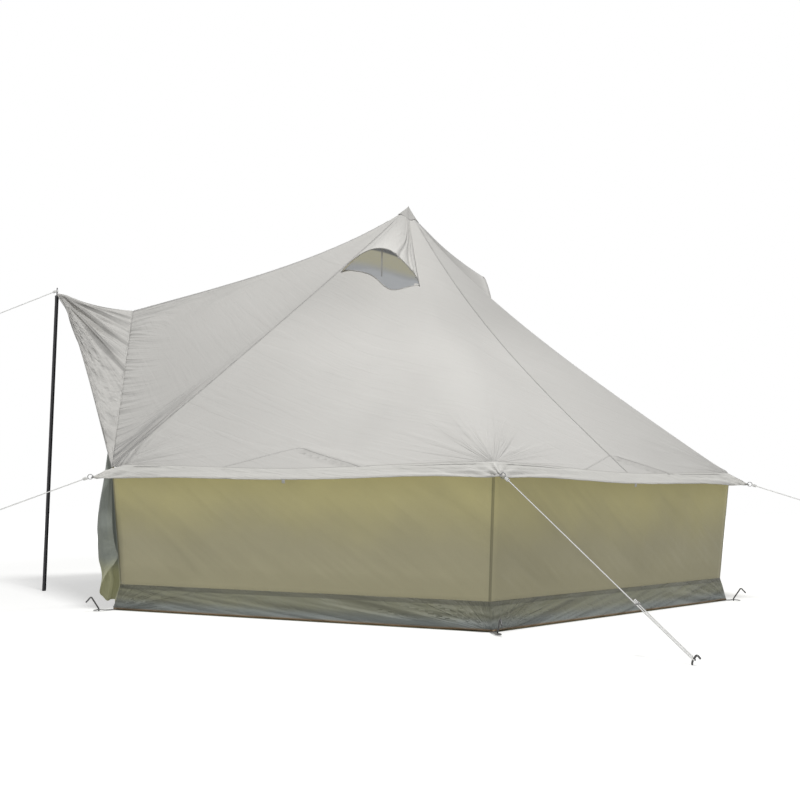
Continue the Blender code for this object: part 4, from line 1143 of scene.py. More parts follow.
def make_roof():
    """The whole roof as one sheet from the throat under the cap down to the eave."""
    columns = roof_columns()
    steps, half = 92, CORNER_RADIUS / 2

    def cell(i, j):
        kind, which, place = columns[j]
        first = THROAT_RADIUS / column_reach(kind, which, place)
        share = first + (1 - first) * (1 - (1 - i / steps) ** 1.25)
        up = (1 - share) * SLOPE_LENGTH
        if kind == "face":
            height = roof_height(place, share)
            seam = seam_distance(place, share)
            aside = share * plan_radius(place) * sin(radians(place - which))
            ends = min(hypot(half - aside, up), hypot(half + aside, up))
            rough = exp(-ends / 0.35) + 0.6 * exp(-hypot(aside, up - 0.1) / 0.25)
            patch = PATCH_HEIGHT * (1 - abs(aside) / PATCH_HALF) - up
            tone = roof_painted_shade(place, share)
        else:
            seam = abs(roof_point(DOOR_CORNERS[0], share).x) * min(place, 1 - place)
            height = door_roof_crease(which, place, share) * smooth_step(seam / 0.03)
            at_ridge, at_hip = exp(-(place / 0.17) ** 2), exp(-((1 - place) / 0.10) ** 2)
            rough = exp(-up / (0.13 + 0.75 * at_ridge + 0.45 * at_hip))
            patch = -1.0
            # Painted shade on the doorway's two roof panels.
            tone = 0.83 if which > 0 else 0.86
        if i == steps:
            height = min(height, 0.0)
        return (column_point(kind, which, place, share), height * smooth_step(up / 0.03 + 0.15),
                seam, patch, min(rough, 1.0), tone, share)

    grid, heights, seam, patch, crumple, tone, shares = layers(steps + 1, len(columns), cell)

    def pull(i, j, k):
        kind, which, _ = columns[k]
        own, same, place = columns[j]
        share = shares[i][j]
        up = (1 - share) * SLOPE_LENGTH
        if kind == "door":
            return which * (PULL_STEP + DOOR_WIDTH * (place if same == which else 0.0)), up
        azimuth = place if own == "face" else DOOR_CORNERS[1]
        aside = share * plan_radius(azimuth) * sin(radians(azimuth - which))
        return aside, up + PULL_STEP * FACES.index(which)

    def is_cut(i, j):
        kind, _, place = columns[j]
        reach = (grid[i][j].xy.length + grid[i + 1][j].xy.length) / 2
        return kind == "face" and in_vent(place, reach / plan_radius(place))

    holes = {(i, j) for i in range(steps) for j in range(len(columns) - 1) if is_cut(i, j)}
    roof = cloth_piece("roof", grid, sizes().cloth_thickness, heights, ring=True, holes=holes,
                       fields={"seam": seam, "patch": patch, "crumple": crumple, "tone": tone},
                       paint="roof_cloth", pull=pull)
    nodes = [f"roof_panel_{side}" for side in (*SIDES, "door_right", "door_left")]
    declare_sheet(roof, grid, nodes=nodes)


def make_cap():
    """The cap over the throat, a little wavy towards its edge."""
    columns, steps, tip = roof_columns(12, 8), 14, 0.0004

    def cell(i, j):
        radius = tip + (CAP_RADIUS - tip) * i / steps
        place = column_point(*columns[j], radius / column_reach(*columns[j]))
        place.z += 0.0054
        turn = radians(column_azimuth(*columns[j]))
        wave = noise.noise(Vector((cos(turn) * 2.6, sin(turn) * 2.6, 1.7)))
        return place, 0.0014 * max(wave, 0.0) * smooth_step(i / steps), CAP_RADIUS - radius

    grid, heights, hem = layers(steps + 1, len(columns), cell)
    cap = cloth_piece("apex_cap_cloth", grid, 0.0018, heights, ring=True, fields={"hem": hem},
                      paint="cap_cloth")
    declare_sheet(cap, grid, nodes=["apex_cap"])


def hood_lift(face, column, slope_share):
    """How far a hood stands off the roof, highest at its crest and its lower edge."""
    first, last, crest, _ = VENTS[face]
    side = min(max((column - first) / (last - first), 0.0), 1.0)
    bent = side / crest / 2 if side < crest else 0.5 + (side - crest) / (1 - crest) / 2
    lift = HOOD_LIFT + (PROP_END if face == BACK else 0.0)
    return lift * max(sin(pi * bent), 0.0) ** 0.85 * max(slope_share, 0.0) ** 1.2


def make_vent_hood(number, face):
    """The cloth over a vent, with a rolled brim and folds where it is sewn down."""
    first, last, *_ = VENTS[face]
    wide, steps = 64, 40
    chance = Random(number)
    folds = [(chance.uniform(0.66, 0.95), chance.uniform(0.010, 0.022), chance.uniform(-1, 1))
             for _ in range(9)]
    folds += [(chance.uniform(0.1, 0.55), chance.uniform(0.02, 0.05), chance.uniform(-0.3, 0.3))
              for _ in range(5)]

    def cell(i, j):
        t, across = i / steps, j / wide
        column = first + (last - first) * eased(across, 0.4)
        azimuth = face - 30 + column
        start = (CAP_RADIUS - 0.012) / plan_radius(azimuth)
        short = 0.022 * smooth_step((across - 0.7) / 0.3) if face == FRONT else 0.0
        place = roof_point(azimuth, start + (HOOD_FOOT - short - start) * t)
        place.z += 0.0026 + 0.0026 * min(t / 0.12, 1.0) + hood_lift(face, column, t)
        side = 1 - across if face == LEFT else across
        fold = sum(a * exp(-((side - c - 0.04 * sin(5 * t + c * 9)) / w) ** 2)
                   for c, w, a in folds)
        ends = smooth_step(min(j, wide - j) / wide / 0.06)
        # Painted shade: darker towards the cap; the back hood is darker still and lighter again
        # along its lip.
        tone = 0.76 + 0.26 * t
        if face == BACK:
            tone = 0.50 + 0.30 * t + 0.12 * smooth_step((t - 0.88) / 0.1)
        return place, 0.012 * fold * smooth_step(t / 0.2) * ends, (1 - t) * 0.62, tone

    grid, heights, hem, tone = layers(steps + 1, wide + 1, cell)
    hood = cloth_piece(f"vent_hood_cloth_{number}", grid, 0.0016, heights,
                       fields={"hem": hem, "tone": tone}, paint="hood_cloth", lining="lining")
    declare_sheet(hood, grid, nodes=[f"vent_hood_{number}"])
    roll = edge_roll(f"vent_brim_{number}", grid[-1], -0.001, 0.0026)
    slope = (roof_point(face, 0.4) - roof_point(face, 0.1)).normalized()
    up = slope.cross(across_direction(face)).normalized()
    for piece in (hood, roll):
        roof_point(face, 0.29) + up * 0.002
        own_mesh(piece)


def edge_roll(name, edge, rise, radius, paint="thread_cloth"):
    """A thin roll of cloth sewn along an edge."""
    route = [place + Vector((0, 0, rise)) for place in edge]
    return fit(tube_piece(name, route, radius, paint, sides=8), "roof_canvas")


def make_vent_netting(number, face):
    """Netting over the opening, with its lower edge cut to a tongue."""
    first, last, _, middle = VENTS[face]
    low, high = face - 30 + max(first, 3), face - 30 + min(last, 57)
    wide, steps, top = 44, 26, 0.078

    def cell(i, j):
        azimuth = low + (high - low) * j / wide
        foot = 0.290 + 0.040 * exp(-((azimuth - middle) / 11) ** 2)
        share = top + (foot - top) * i / steps
        place = roof_point(azimuth, share)
        place.z += 0.0022
        return place, (HOOD_FOOT - share) * 2.7

    grid, hem = layers(steps + 1, wide + 1, cell)
    net = cloth_piece(f"vent_net_{number}", grid, 0.0012, fields={"hem": hem},
                      paint="insect_netting")
    declare_sheet(net, grid, nodes=[f"vent_mesh_{number}"], slot="netting")
    edge_roll(f"vent_edge_{number}", grid[-1], 0.001, 0.0022, "plain_canvas")


def awning_point(side, along, share):
    """A point of a flank: along its seam from the peak, and from the pole's tip to the seam."""
    tip = Vector((0, -AWNING_TIP_OUT, AWNING_TIP_HEIGHT))
    place = tip.lerp(seam_point(1, along), share)
    place.z -= 0.022 * sin(pi * share) * (1 - along) ** 2
    peak, corner = seam_point(1, 0.0), seam_point(1, 1.0)
    edge = (corner - tip).normalized()
    inward = (peak - tip) - edge * (peak - tip).dot(edge)
    drawn_in = sin(pi * share ** 0.6) * min(share / 0.1, 1.0)
    place += inward.normalized() * (AWNING_EDGE_CURVE * drawn_in * along ** 3)
    place.z += 0.007 * sin(pi * 4 * along) * share * (1 - share) * 4
    return Vector((side * place.x, place.y, place.z))


def awning_crease(side, along, share):
    """Folds that run from the pole's tip to the seam, with smaller ones low on the flank."""
    bow = smooth_step(share / 0.12) * (0.25 + 0.75 * (1 - smooth_step((share - 0.55) / 0.45)))
    upper = exp(-((along - 0.22) / 0.26) ** 2)
    wave = noise.noise(Vector((along * 24, side * 2.3, share * 0.8)))
    wave += 0.5 * noise.noise(Vector((along * 48, side * 4.1, share * 1.4)))
    height = (0.006 + 0.042 * upper) * wave * bow
    cross = noise.noise(Vector((along * 9 + share * 7, share * 3, side * 6.0)))
    height += 0.012 * cross * smooth_step((along - 0.40) / 0.3) * smooth_step(share / 0.2)
    return height * smooth_step((1 - share) / 0.04 + 0.1)


def make_awning():
    """Both flanks as one sheet over the ridge, hemmed along its free edges."""
    wide, steps = 64, 60
    alongs = [(abs(j - wide) / wide) ** 1.2 for j in range(2 * wide + 1)]

    def cell(i, j):
        side, along = (1 if j >= wide else -1), alongs[j]
        reach = (seam_point(1, along) - awning_point(1, along, 0.0)).length
        first = (0.010 + 0.004 * along) / reach
        share = first + (1 - first) * i / steps
        height = awning_crease(side, along, share) * smooth_step(along / 0.04 + 0.2)
        return awning_point(side, along, share), height, (1 - along) * 1.5 * (0.04 + share)

    grid, heights, hem = layers(steps + 1, 2 * wide + 1, cell)
    awning = cloth_piece("awning", grid, sizes().cloth_thickness, heights, fields={"hem": hem},
                         paint="awning_cloth",
                         pull=lambda i, j, k: (alongs[j] * (1 if k >= wide else -1), i / steps))
    declare_sheet(awning, grid, nodes=["awning_flank_right", "awning_flank_left"])
    for column, name in ((-1, "right"), (0, "left")):
        edge_roll(f"awning_edge_{name}", [line[column] for line in grid], -0.002, 0.0036)


def ear_tip(azimuth):
    tip = direction(azimuth) * (CORNER_RADIUS + EAR_REACH)
    tip.z = eave_height(azimuth) - EAR_FALL
    return tip


def eyelet(azimuth):
    place = ear_tip(azimuth) - direction(azimuth) * EYELET_INSET
    place.z = eave_height(azimuth) - EAR_FALL * (1 - EYELET_INSET / EAR_REACH)
    return place


def strip_stations(steps=70):
    stations = [(face, eased(k / steps, 0.82)) for face in FACES for k in range(steps)]
    return [(DOORWAY - 360, 1 - STRIP_RETURN), *stations, (LEFT, 1.0),
            (DOORWAY, STRIP_RETURN)]


def strip_edges(face, share):
    """The strip's inner and outer edge, the way to the corner, that corner and the azimuth."""
    edge = (direction(face - 30) * CORNER_RADIUS).lerp(direction(face + 30) * CORNER_RADIUS,
                                                       share)
    azimuth = degrees(atan2(edge.y, edge.x))
    near = min(share, 1 - share) * CORNER_RADIUS
    corner = face - 30 if share < 0.5 else face + 30
    at_door = corner in DOOR_CORNERS
    edge.z = eave_height(azimuth) + 0.001
    if at_door and near <= STRIP_RETURN * CORNER_RADIUS + 0.0003:
        edge.z -= 0.0055
    outward = direction(corner).lerp(direction(face), smooth_step(near / 0.05)).normalized()
    if face % 360 == DOORWAY:
        inner, out = edge.copy(), edge + outward * 0.012
        out.z = edge.z - 0.014
    else:
        laid = smooth_step((near - 0.027) / 0.05) if at_door else 1.0
        inner = edge - outward * (0.004 + 0.004 * laid)
        inner.z += 0.0105 * laid
        out = edge + outward * STRIP_OUT
        out.z = edge.z - (STRIP_FALL + 0.022 * exp(-near / 0.45))
    outer = out.lerp(ear_tip(corner), max(0.0, 1 - near / EAR_SPREAD) ** 2)
    return inner, outer, near, corner, azimuth


def make_eave_strip():
    """The strip along the eave, drawn out into a pleated ear at each corner, and its tabs."""
    rows = 12
    edges = [strip_edges(*station) for station in strip_stations()]

    def cell(i, j):
        inner, outer, near, corner, azimuth = edges[j]
        t = i / rows
        turn = atan2(near + 0.002, (1 - t) * 0.10 + 0.012)
        pleat = sin(turn * 13 + corner) * 0.0052 * exp(-near / 0.16) * smooth_step(near / 0.006)
        pleat += noise.noise(Vector((t * 5.5 + near * 1.6, near * 1.3, corner))) * (
            0.0110 * exp(-near / 0.5) * smooth_step(near / 0.03))
        wave = noise.noise(Vector((azimuth * 0.55, t * 1.5, 3.0)))
        wave += 0.5 * noise.noise(Vector((azimuth * 1.7, t * 3.0, 5.0)))
        lift = (pleat + 0.0028 * wave * smooth_step(near / 0.1)) * smooth_step(t / 0.3)
        lift = max(lift, -0.0012 - 0.008 * smooth_step((t - 0.3) / 0.3))
        deep = (outer - inner).length
        return inner.lerp(outer, t), lift, (1 - t) * deep, t * deep

    grid, heights, hem, top = layers(rows + 1, len(edges), cell)
    strip = cloth_piece("eave_strip_cloth", grid, 0.0018, heights,
                        fields={"hem": hem, "top": top}, paint="strip_cloth")
    for side, face in zip(SIDES, FACES):
        out, across = direction(face), across_direction(face)
        edge = out * (CORNER_RADIUS * cos(radians(30)) + STRIP_OUT - 0.004)
        edge.z = eave_height(face) - STRIP_FALL + 0.004
        tab = [[edge + across * (0.009 * k) + out * (0.004 * sin(pi * i / 4))
                - Vector((0, 0, 0.006 * i)) for k in (-1, 0, 1)] for i in range(5)]
        fit(cloth_piece(f"strip_tab_{side}", tab, 0.0014, paint="plain_canvas"), "strip_canvas")
    declare_sheet(strip, grid, nodes=["eave_strip"], slot="strip_canvas")


def band_point(azimuth, t, low, high, low_radius, high_radius):
    """A point between two heights of a side's flat band, t from its foot to its top."""
    radius = low_radius + (high_radius - low_radius) * t
    place = direction(azimuth) * plan_radius(azimuth, radius)
    place.z = low + (high - low) * t
    return place


def wall_crease(face, aside, height):
    """Long soft folds that cross the wall from the upper left to the lower right."""
    slant = aside * 0.55 + (0.75 - height) * 1.0
    wander = 0.10 * noise.noise(Vector((aside * 1.3, height * 2.0, face * 0.1)))
    fold = sum(depth * exp(-((aside * 0.62 - centre + 0.3 - slant * 0.35 + wander) / width) ** 2)
               for centre, width, depth in WALL_FOLDS)
    mid = sin(pi * min(max((height - WALL_FOOT_HEIGHT) / 0.6, 0.0), 1.0))
    waves = 0.006 * noise.noise(Vector((aside * 2.2, height * 1.6, face * 0.37)))
    return (fold - 0.003 + waves) * mid


def make_walls():
    """The five closed sides as one sheet, sewn at the corners."""
    steps, rows = 36, 26
    stations = [(face, k) for face in FACES for k in range(steps)] + [(LEFT, steps)]

    def cell(i, j):
        face, k = stations[j]
        azimuth = face - 30 + 60 * eased(k / steps, 0.4)
        place = band_point(azimuth, 1 - i / rows, WALL_FOOT_HEIGHT - 0.004,
                           eave_height(azimuth) - 0.0055, WALL_FOOT_RADIUS, CORNER_RADIUS)
        aside = place.dot(across_direction(face))
        ends = smooth_step((1 - abs(aside) / (place.xy.length * 0.5)) / 0.12)
        seam = min(k, steps - k) / steps * CORNER_RADIUS
        # The last value is painted shade on the right-hand wall.
        return (place, wall_crease(face, aside, place.z) * ends, seam, 1.0,
                0.86 if face == RIGHT and k else 1.0)

    grid, heights, seam, patch, tone = layers(rows + 1, len(stations), cell)
    walls = cloth_piece("walls", grid, sizes().cloth_thickness, heights,
                        fields={"seam": seam, "patch": patch, "tone": tone},
                        paint="wall_cloth")
    declare_sheet(walls, grid, nodes=[f"wall_{side}" for side in SIDES],
                  slot="wall_canvas")


def make_skirt():
    """The mud skirt round five sides and, lower down at the doorway, the sill."""
    steps, rows, half = 44, 16, SKIRT_FOOT_RADIUS / 2
    sides = (*FACES, DOORWAY)
    stations = [(face, k) for face in sides for k in range(steps)] + [(DOORWAY, steps)]

    def cell(i, j):
        face, k = stations[j]
        t = 1 - i / rows
        left, right = SKIRT_RAYS.get(face, (SKIRT_CORNER, SKIRT_CORNER))
        place = band_point(face - 30 + 60 * eased(k / steps, 0.6), t, 0.0045,
                           WALL_FOOT_HEIGHT, SKIRT_FOOT_RADIUS, WALL_FOOT_RADIUS)
        aside = place.dot(across_direction(face))
        fold = fan_height(left, half + aside, place.z)
        fold += fan_height(right, half - aside, place.z)
        wave = 0.006 * noise.noise(Vector((aside * 3.1, place.z * 9, face * 0.3)))
        belly = 0.006 * sin(pi * min(t * 1.15, 1.0))
        calm = smooth_step((1 - t) / 0.2) * smooth_step(t / 0.05 + 0.3)
        if face == DOORWAY:
            calm *= 1 - smooth_step((t - 0.15) / 0.35)
        ends = smooth_step(min(half - abs(aside), 0.05) / 0.03)
        return place, (1.35 * fold + wave + belly) * ends * calm, place.z

    grid, heights, hem = layers(rows + 1, len(stations), cell)

    def pull(i, j, k):
        side, place = k // steps, grid[i][j]
        first = direction(sides[side] - 30) * SKIRT_FOOT_RADIUS
        return (place.xy - first.xy).length + PULL_STEP * side, place.z

    skirt = cloth_piece("mud_skirt", grid, 0.0012, heights, ring=True, fields={"hem": hem},
                        paint="skirt_cloth", pull=pull)
    nodes = [f"mud_skirt_{side}" for side in SIDES]
    declare_sheet(skirt, grid, nodes=nodes + ["door_sill"], slot="coated_cloth")


def make_groundsheet():
    """The floor as one sheet with shallow ripples, and the webbing at its corners."""
    steps, rows = 12, 30

    def cell(i, j):
        t = max(i / rows, 0.0005)
        azimuth = 60 * j / steps
        place = direction(azimuth) * (plan_radius(azimuth, GROUNDSHEET_RADIUS) * t)
        place.z = 0.0022
        return place, 0.0008 * noise.noise(place * 2.4) * smooth_step((1 - t) / 0.05)

    grid, heights = layers(rows + 1, steps * 6 + 1, cell)
    sheet = cloth_piece("groundsheet_cloth", grid, 0.0014, heights, ring=True,
                        paint="sheet_cloth")
    declare_sheet(sheet, grid, nodes=["groundsheet"], slot="coated_cloth")
    for azimuth, name in CORNERS.items():
        make_peg_tab(azimuth, name)


def peg_foot(corner):
    """Where a corner's peg meets the ground; the right one stands further in."""
    return direction(corner) * (TAB_REACH - (0.055 if corner == 60 else 0.015))


def make_peg_tab(azimuth, name):
    """A loop of webbing sewn under a corner, with the peg through it."""
    out, across, peg = direction(azimuth), across_direction(azimuth), peg_foot(azimuth)
    steps, turns, half = 18, 32, TAB_HALF
    reach = TAB_REACH - (0.03 if azimuth == 60 else 0.001)

    def cell(i, j):
        t, turn = i / steps, pi * j / turns
        tip = out * (reach + half * sin(turn)) + across * (half * cos(turn))
        root = out * (GROUNDSHEET_RADIUS - 0.05) + across * (half * cos(turn))
        place = root.lerp(tip, t)
        hole = (place - peg).xy.length
        place.z = 0.0036 + 0.006 * smooth_step((t - 0.45) / 0.3) * exp(-(hole / 0.03) ** 2)
        return place, 0.05

    grid, hem = layers(steps + 1, turns + 1, cell)
    fit(cloth_piece(f"peg_tab_{name}", grid, 0.0016, flip=True, fields={"hem": hem},
                    paint="webbing"), "coated_cloth")


def corner_edge(height):
    """A point up the doorway's right corner."""
    if height < WALL_FOOT_HEIGHT:
        share = height / WALL_FOOT_HEIGHT
        radius = SKIRT_FOOT_RADIUS + (WALL_FOOT_RADIUS - SKIRT_FOOT_RADIUS) * share
    else:
        share = (height - WALL_FOOT_HEIGHT) / (CORNER_HEIGHT - WALL_FOOT_HEIGHT)
        radius = WALL_FOOT_RADIUS + (CORNER_RADIUS - WALL_FOOT_RADIUS) * share
    place = direction(DOOR_CORNERS[0]) * radius
    place.z = height
    return place


def leaf_grid(side):
    """The gathered leaf's coarse grid: down the sloping seam and the corner, and across."""
    slope = (seam_point(1, 1.0) - seam_point(1, 0.0)).normalized()
    inward = Vector((slope.z, 0, -slope.x)).normalized()
    path = [(seam_point(1, along) - Vector((0, 0, 0.0056)), inward, size, 0.0)
            for along, size in LEAF_STATIONS]
    path += [(corner_edge(height), Vector((-1, 0, 0)), size, wrap)
             for height, size, wrap in LEAF_LEVELS]
    grid = []
    for anchor, inward, size, wrap in path:
        line = []
        for j, (into, out) in enumerate(LEAF_FOLDS):
            turn_in = 0.0 if anchor.z > CORNER_HEIGHT else 0.030
            kept = into * (0.5 + 0.4 * min(size, 1.0)) + (1 - wrap) * (
                turn_in + 0.055 * j / (len(LEAF_FOLDS) - 1))
            place = anchor + inward * kept
            place.y -= out * size + 0.0006
            place.z += LEAF_LIFTS[j] * max(0.0, (0.40 - anchor.z) / (0.40 - 0.045))
            line.append(Vector((side * place.x, place.y, place.z)))
        grid.append(line)
    return grid


def refined(points, count):
    """Points on a smooth curve through the given ones."""
    last = len(points) - 1
    made = []
    for k in range(count + 1):
        far = last * k / count
        i = min(int(far), last - 1)
        t = far - i
        p0, p1 = points[max(i - 1, 0)], points[i]
        p2, p3 = points[i + 1], points[min(i + 2, last)]
        made.append(0.5 * ((2 * p1) + (p2 - p0) * t + (2 * p0 - 5 * p1 + 4 * p2 - p3) * t * t
                           + (3 * p1 - p0 - 3 * p2 + p3) * t ** 3))
    return made


def make_door_leaf(side, name):
    """A leaf gathered along its seam, with small folds between the large ones."""
    wide, steps = 78, 96
    lines = [refined(line, wide) for line in leaf_grid(side)]
    columns = [refined(line, steps) for line in zip(*lines)]

    def cell(i, j):
        place, u = columns[j][i], j / wide
        pleat = noise.noise(Vector((u * 15, i * 0.028, side * 2.0)))
        pleat += 0.5 * noise.noise(Vector((u * 31, i * 0.05, side * 4.0)))
        slant = noise.noise(Vector((u * 4 - place.z * 9, place.z * 14, 7.0 + side)))
        low = smooth_step((0.62 - place.z) / 0.2)
        ends = smooth_step(u / 0.08) * smooth_step((steps - i) / 6 + 0.2) * smooth_step(i / 5)
        return place, (0.0045 * pleat + 0.005 * slant * low) * ends, (steps - i) * 0.02

    grid, heights, hem = layers(steps + 1, wide + 1, cell)
    leaf = cloth_piece(f"door_leaf_cloth_{name}", grid, 0.0012, heights, flip=side < 0,
                       fields={"hem": hem}, paint="leaf_cloth")
    declare_sheet(leaf, grid, nodes=[f"door_leaf_{name}"], slot="wall_canvas")


# Ropes and fittings


def rope_frame(name):
    start, pull, to_tensioner, to_loop = ROPES[name]
    start, pull = Vector(start), Vector(pull).normalized()
    across = pull.cross(Z_AXIS).normalized()
    return start, pull, across, to_tensioner, to_loop


def fine_route(route, step=0.0035):
    """The same route with points closer together along its straight parts."""
    made = [route[0]]
    for a, b in zip(route, route[1:]):
        count = max(1, round((b - a).length / step))
        made += [a.lerp(b, k / count) for k in range(1, count + 1)]
    return made


def make_rope(name):
    """The rope out to its loop, the strand that comes back to the tensioner, and its knots."""
    radius, body = sizes().rope_diameter / 2, f"{name}_tensioner"
    laid = dict(strands=3, lay=sizes().rope_lay)
    start, pull, across, to_tensioner, to_loop = rope_frame(name)
    half = STRAND_SPACING / 2
    turn = start + pull * to_loop - across * half
    out = [start + pull * (to_loop * k / 24) for k in range(24)]
    out += [arc_point(turn, across, pull, half, pi * step / 16) for step in range(17)]
    out = fine_route(out)
    rope = fit(tube_piece(f"rope_{name}", out, radius, "laid_rope", **laid), "rope",
               f"guy_rope_{name}")
    knot = make_knot(f"rope_knot_{name}", start + pull * 0.012, pull, radius)
    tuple(start)
    run_lengths(out)[-1]
    length = to_loop - to_tensioner
    back = [turn - across * half - pull * (length * k / 12) for k in range(13)]
    tail = back[-1] - pull * 0.010
    back = fine_route([*back, tail])
    strand = tube_piece(f"rope_return_{name}", back, radius, "laid_rope", **laid)
    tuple(back[0])
    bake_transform(strand)
    stop = make_knot(f"rope_stop_{name}", tail - pull * 0.002, pull, radius, body)
    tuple(back[0])
    run_lengths(back)[-1]
    make_tensioner(name, start + pull * to_tensioner - across * half, pull, across)


def make_knot(name, centre, along, radius, body="tent"):
    """A stopper knot: a few turns of rope wound round the rope itself."""
    side = along.orthogonal().normalized()
    third = along.cross(side)
    turns = sizes().turns
    steps = 18 * turns
    route = [arc_point(centre + along * ((k / steps - 0.5) * radius * 2.1 * turns), side, third,
                       radius * 1.95, 2 * pi * turns * k / steps) for k in range(steps + 1)]
    return fit(tube_piece(name, route, radius * 0.98, "laid_rope", sides=10), "rope", body=body)


def make_tensioner(name, centre, pull, across):
    """A moulded bar with rounded ends and a bore for each strand."""
    bore = sizes().rope_diameter / 2 + 0.0012
    curve = bpy.data.curves.new("bar", "CURVE")
    curve.dimensions, curve.fill_mode = "2D", "BOTH"
    curve.extrude, curve.bevel_depth, curve.bevel_resolution = 0.0018, 0.0007, 2
    half, deep = 0.0193, 0.0063
    rings = [[(side * (half - deep + deep * cos(turn)), side * deep * sin(turn))
              for side in (1, -1) for turn in (radians(15 * k - 90) for k in range(13))]]
    rings += [[(side * STRAND_SPACING / 2 + bore * cos(turn), bore * sin(turn))
               for turn in (radians(20 * k) for k in range(18))] for side in (-1, 1)]
    for ring in rings:
        line = curve.splines.new("POLY")
        line.points.add(len(ring) - 1)
        for point, (x, y) in zip(line.points, ring):
            point.co = (x, y, 0.0, 1.0)
        line.use_cyclic_u = True
    shape = linked("bar", curve)
    mesh = plain_mesh(shape)
    bpy.data.objects.remove(shape)
    turned = Matrix((across, pull.cross(across), pull)).transposed().to_4x4()
    mesh.transform(Matrix.Translation(centre) @ turned)
    fit(finished(f"tensioner_bar_{name}", mesh, "grey_plastic", smooth=False), "white_plastic",
        f"tensioner_{name}", body=f"{name}_tensioner")


def plain_mesh(item):
    """The evaluated mesh of an object, free of its modifiers."""
    bpy.context.view_layer.update()
    ready = item.evaluated_get(bpy.context.evaluated_depsgraph_get())
    return bpy.data.meshes.new_from_object(ready)


def pull_direction(corner):
    """The level direction in which a corner's ring is pulled."""
    name = CORNERS[corner]
    if name not in ROPES:
        return direction(corner)
    pull = GUY_PEG - eyelet(corner) if name == "near" else Vector(ROPES[name][1])
    return Vector((pull.x, pull.y, 0)).normalized()


def make_rings():
    """A welded steel ring through each corner's eyelet."""
    for corner, name in CORNERS.items():
        pull = pull_direction(corner)
        centre = eyelet(corner) + pull * RING_RADIUS - Vector((0, 0, 0.002))
        route = [arc_point(centre, pull, Z_AXIS, RING_RADIUS, 2 * pi * k / 48)
                 for k in range(48)]
        fit(ring_piece(f"corner_ring_{name}", route, RING_WIRE, "bare_steel"), "steel",
            f"guy_ring_{name}")
        make_grommet(corner, name)


def ring_piece(name, route, radius, paint, sides=14):
    """A closed tube along a route that ends where it began."""
    count = len(route)
    middle = sum(route, Vector()) / count
    normal = (route[0] - middle).cross(route[1] - middle).normalized()
    points = [arc_point(place, (place - middle).normalized(), normal, radius,
                        2 * pi * s / sides) for place in route for s in range(sides)]
    faces = []
    for n in range(count):
        for s in range(sides):
            here, beyond, other = n * sides, (n + 1) % count * sides, (s + 1) % sides
            faces.append((beyond + s, beyond + other, here + other, here + s))
    mesh = bpy.data.meshes.new(name)
    mesh.from_pydata(points, [], faces)
    mesh.uv_layers.new(name="cloth")
    return finished(name, mesh, paint)


def make_grommet(corner, name):
    """The pressed eyelet that the ring passes through."""
    side = across_direction(corner)
    root = direction(corner) * CORNER_RADIUS + Vector((0, 0, eave_height(corner)))
    slope = (ear_tip(corner) - root).normalized()
    normal = slope.cross(side).normalized()
    if normal.z < 0:
        normal = -normal
    route = [arc_point(eyelet(corner) + normal * 0.0004, slope, side, 0.0056, radians(15 * k))
             for k in range(24)]
    fit(ring_piece(f"eyelet_{name}", route, 0.0012, "bare_steel", sides=10), "steel")


def make_peg(name, node, foot, out, shaft_length, tail_length):
    """A round steel peg: a leaning shaft and a bent head above the ground."""
    lean, turn, bend_radius = radians(34), radians(104), 0.007
    shaft = out * sin(lean) + Vector((0, 0, cos(lean)))
    side = out * cos(lean) - Vector((0, 0, sin(lean)))
    bend = foot + Vector((0, 0, 0.012))
    route = [foot + Vector((0, 0, 0.0022)), foot + Vector((0, 0, 0.0075)), bend + shaft * 0.004]
    route += [bend + shaft * (shaft_length * share) for share in (0.25, 0.5, 0.75, 1.0)]
    centre = route[-1] + side * bend_radius
    route += [arc_point(centre, -side, shaft, bend_radius, turn * step / 12)
              for step in range(1, 13)]
    end = (side * sin(turn) + shaft * cos(turn)).normalized()
    route += [route[-1] + end * (tail_length * share) for share in (0.33, 0.66, 0.95)]
    fit(tube_piece(name, route, PEG_RADIUS, "peg_steel", sides=16), "steel", node)


def make_pegs():
    """A peg in each corner's loop, and one for the near rope."""
    for corner, name in CORNERS.items():
        make_peg(f"peg_{name}", f"base_peg_{name}", peg_foot(corner), direction(corner), 0.072,
                 0.030)
    pull = rope_frame("near")[1]
    level = Vector((pull.x, pull.y, 0)).normalized()
    make_peg("peg_guy", "guy_peg_near", GUY_PEG.copy(), level, 0.026, 0.010)


def repaint(node, paint):
    """Give a solid that stays in sight its finish."""
    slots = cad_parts[node].data.materials
    slots.clear()
    slots.append(finish(paint))


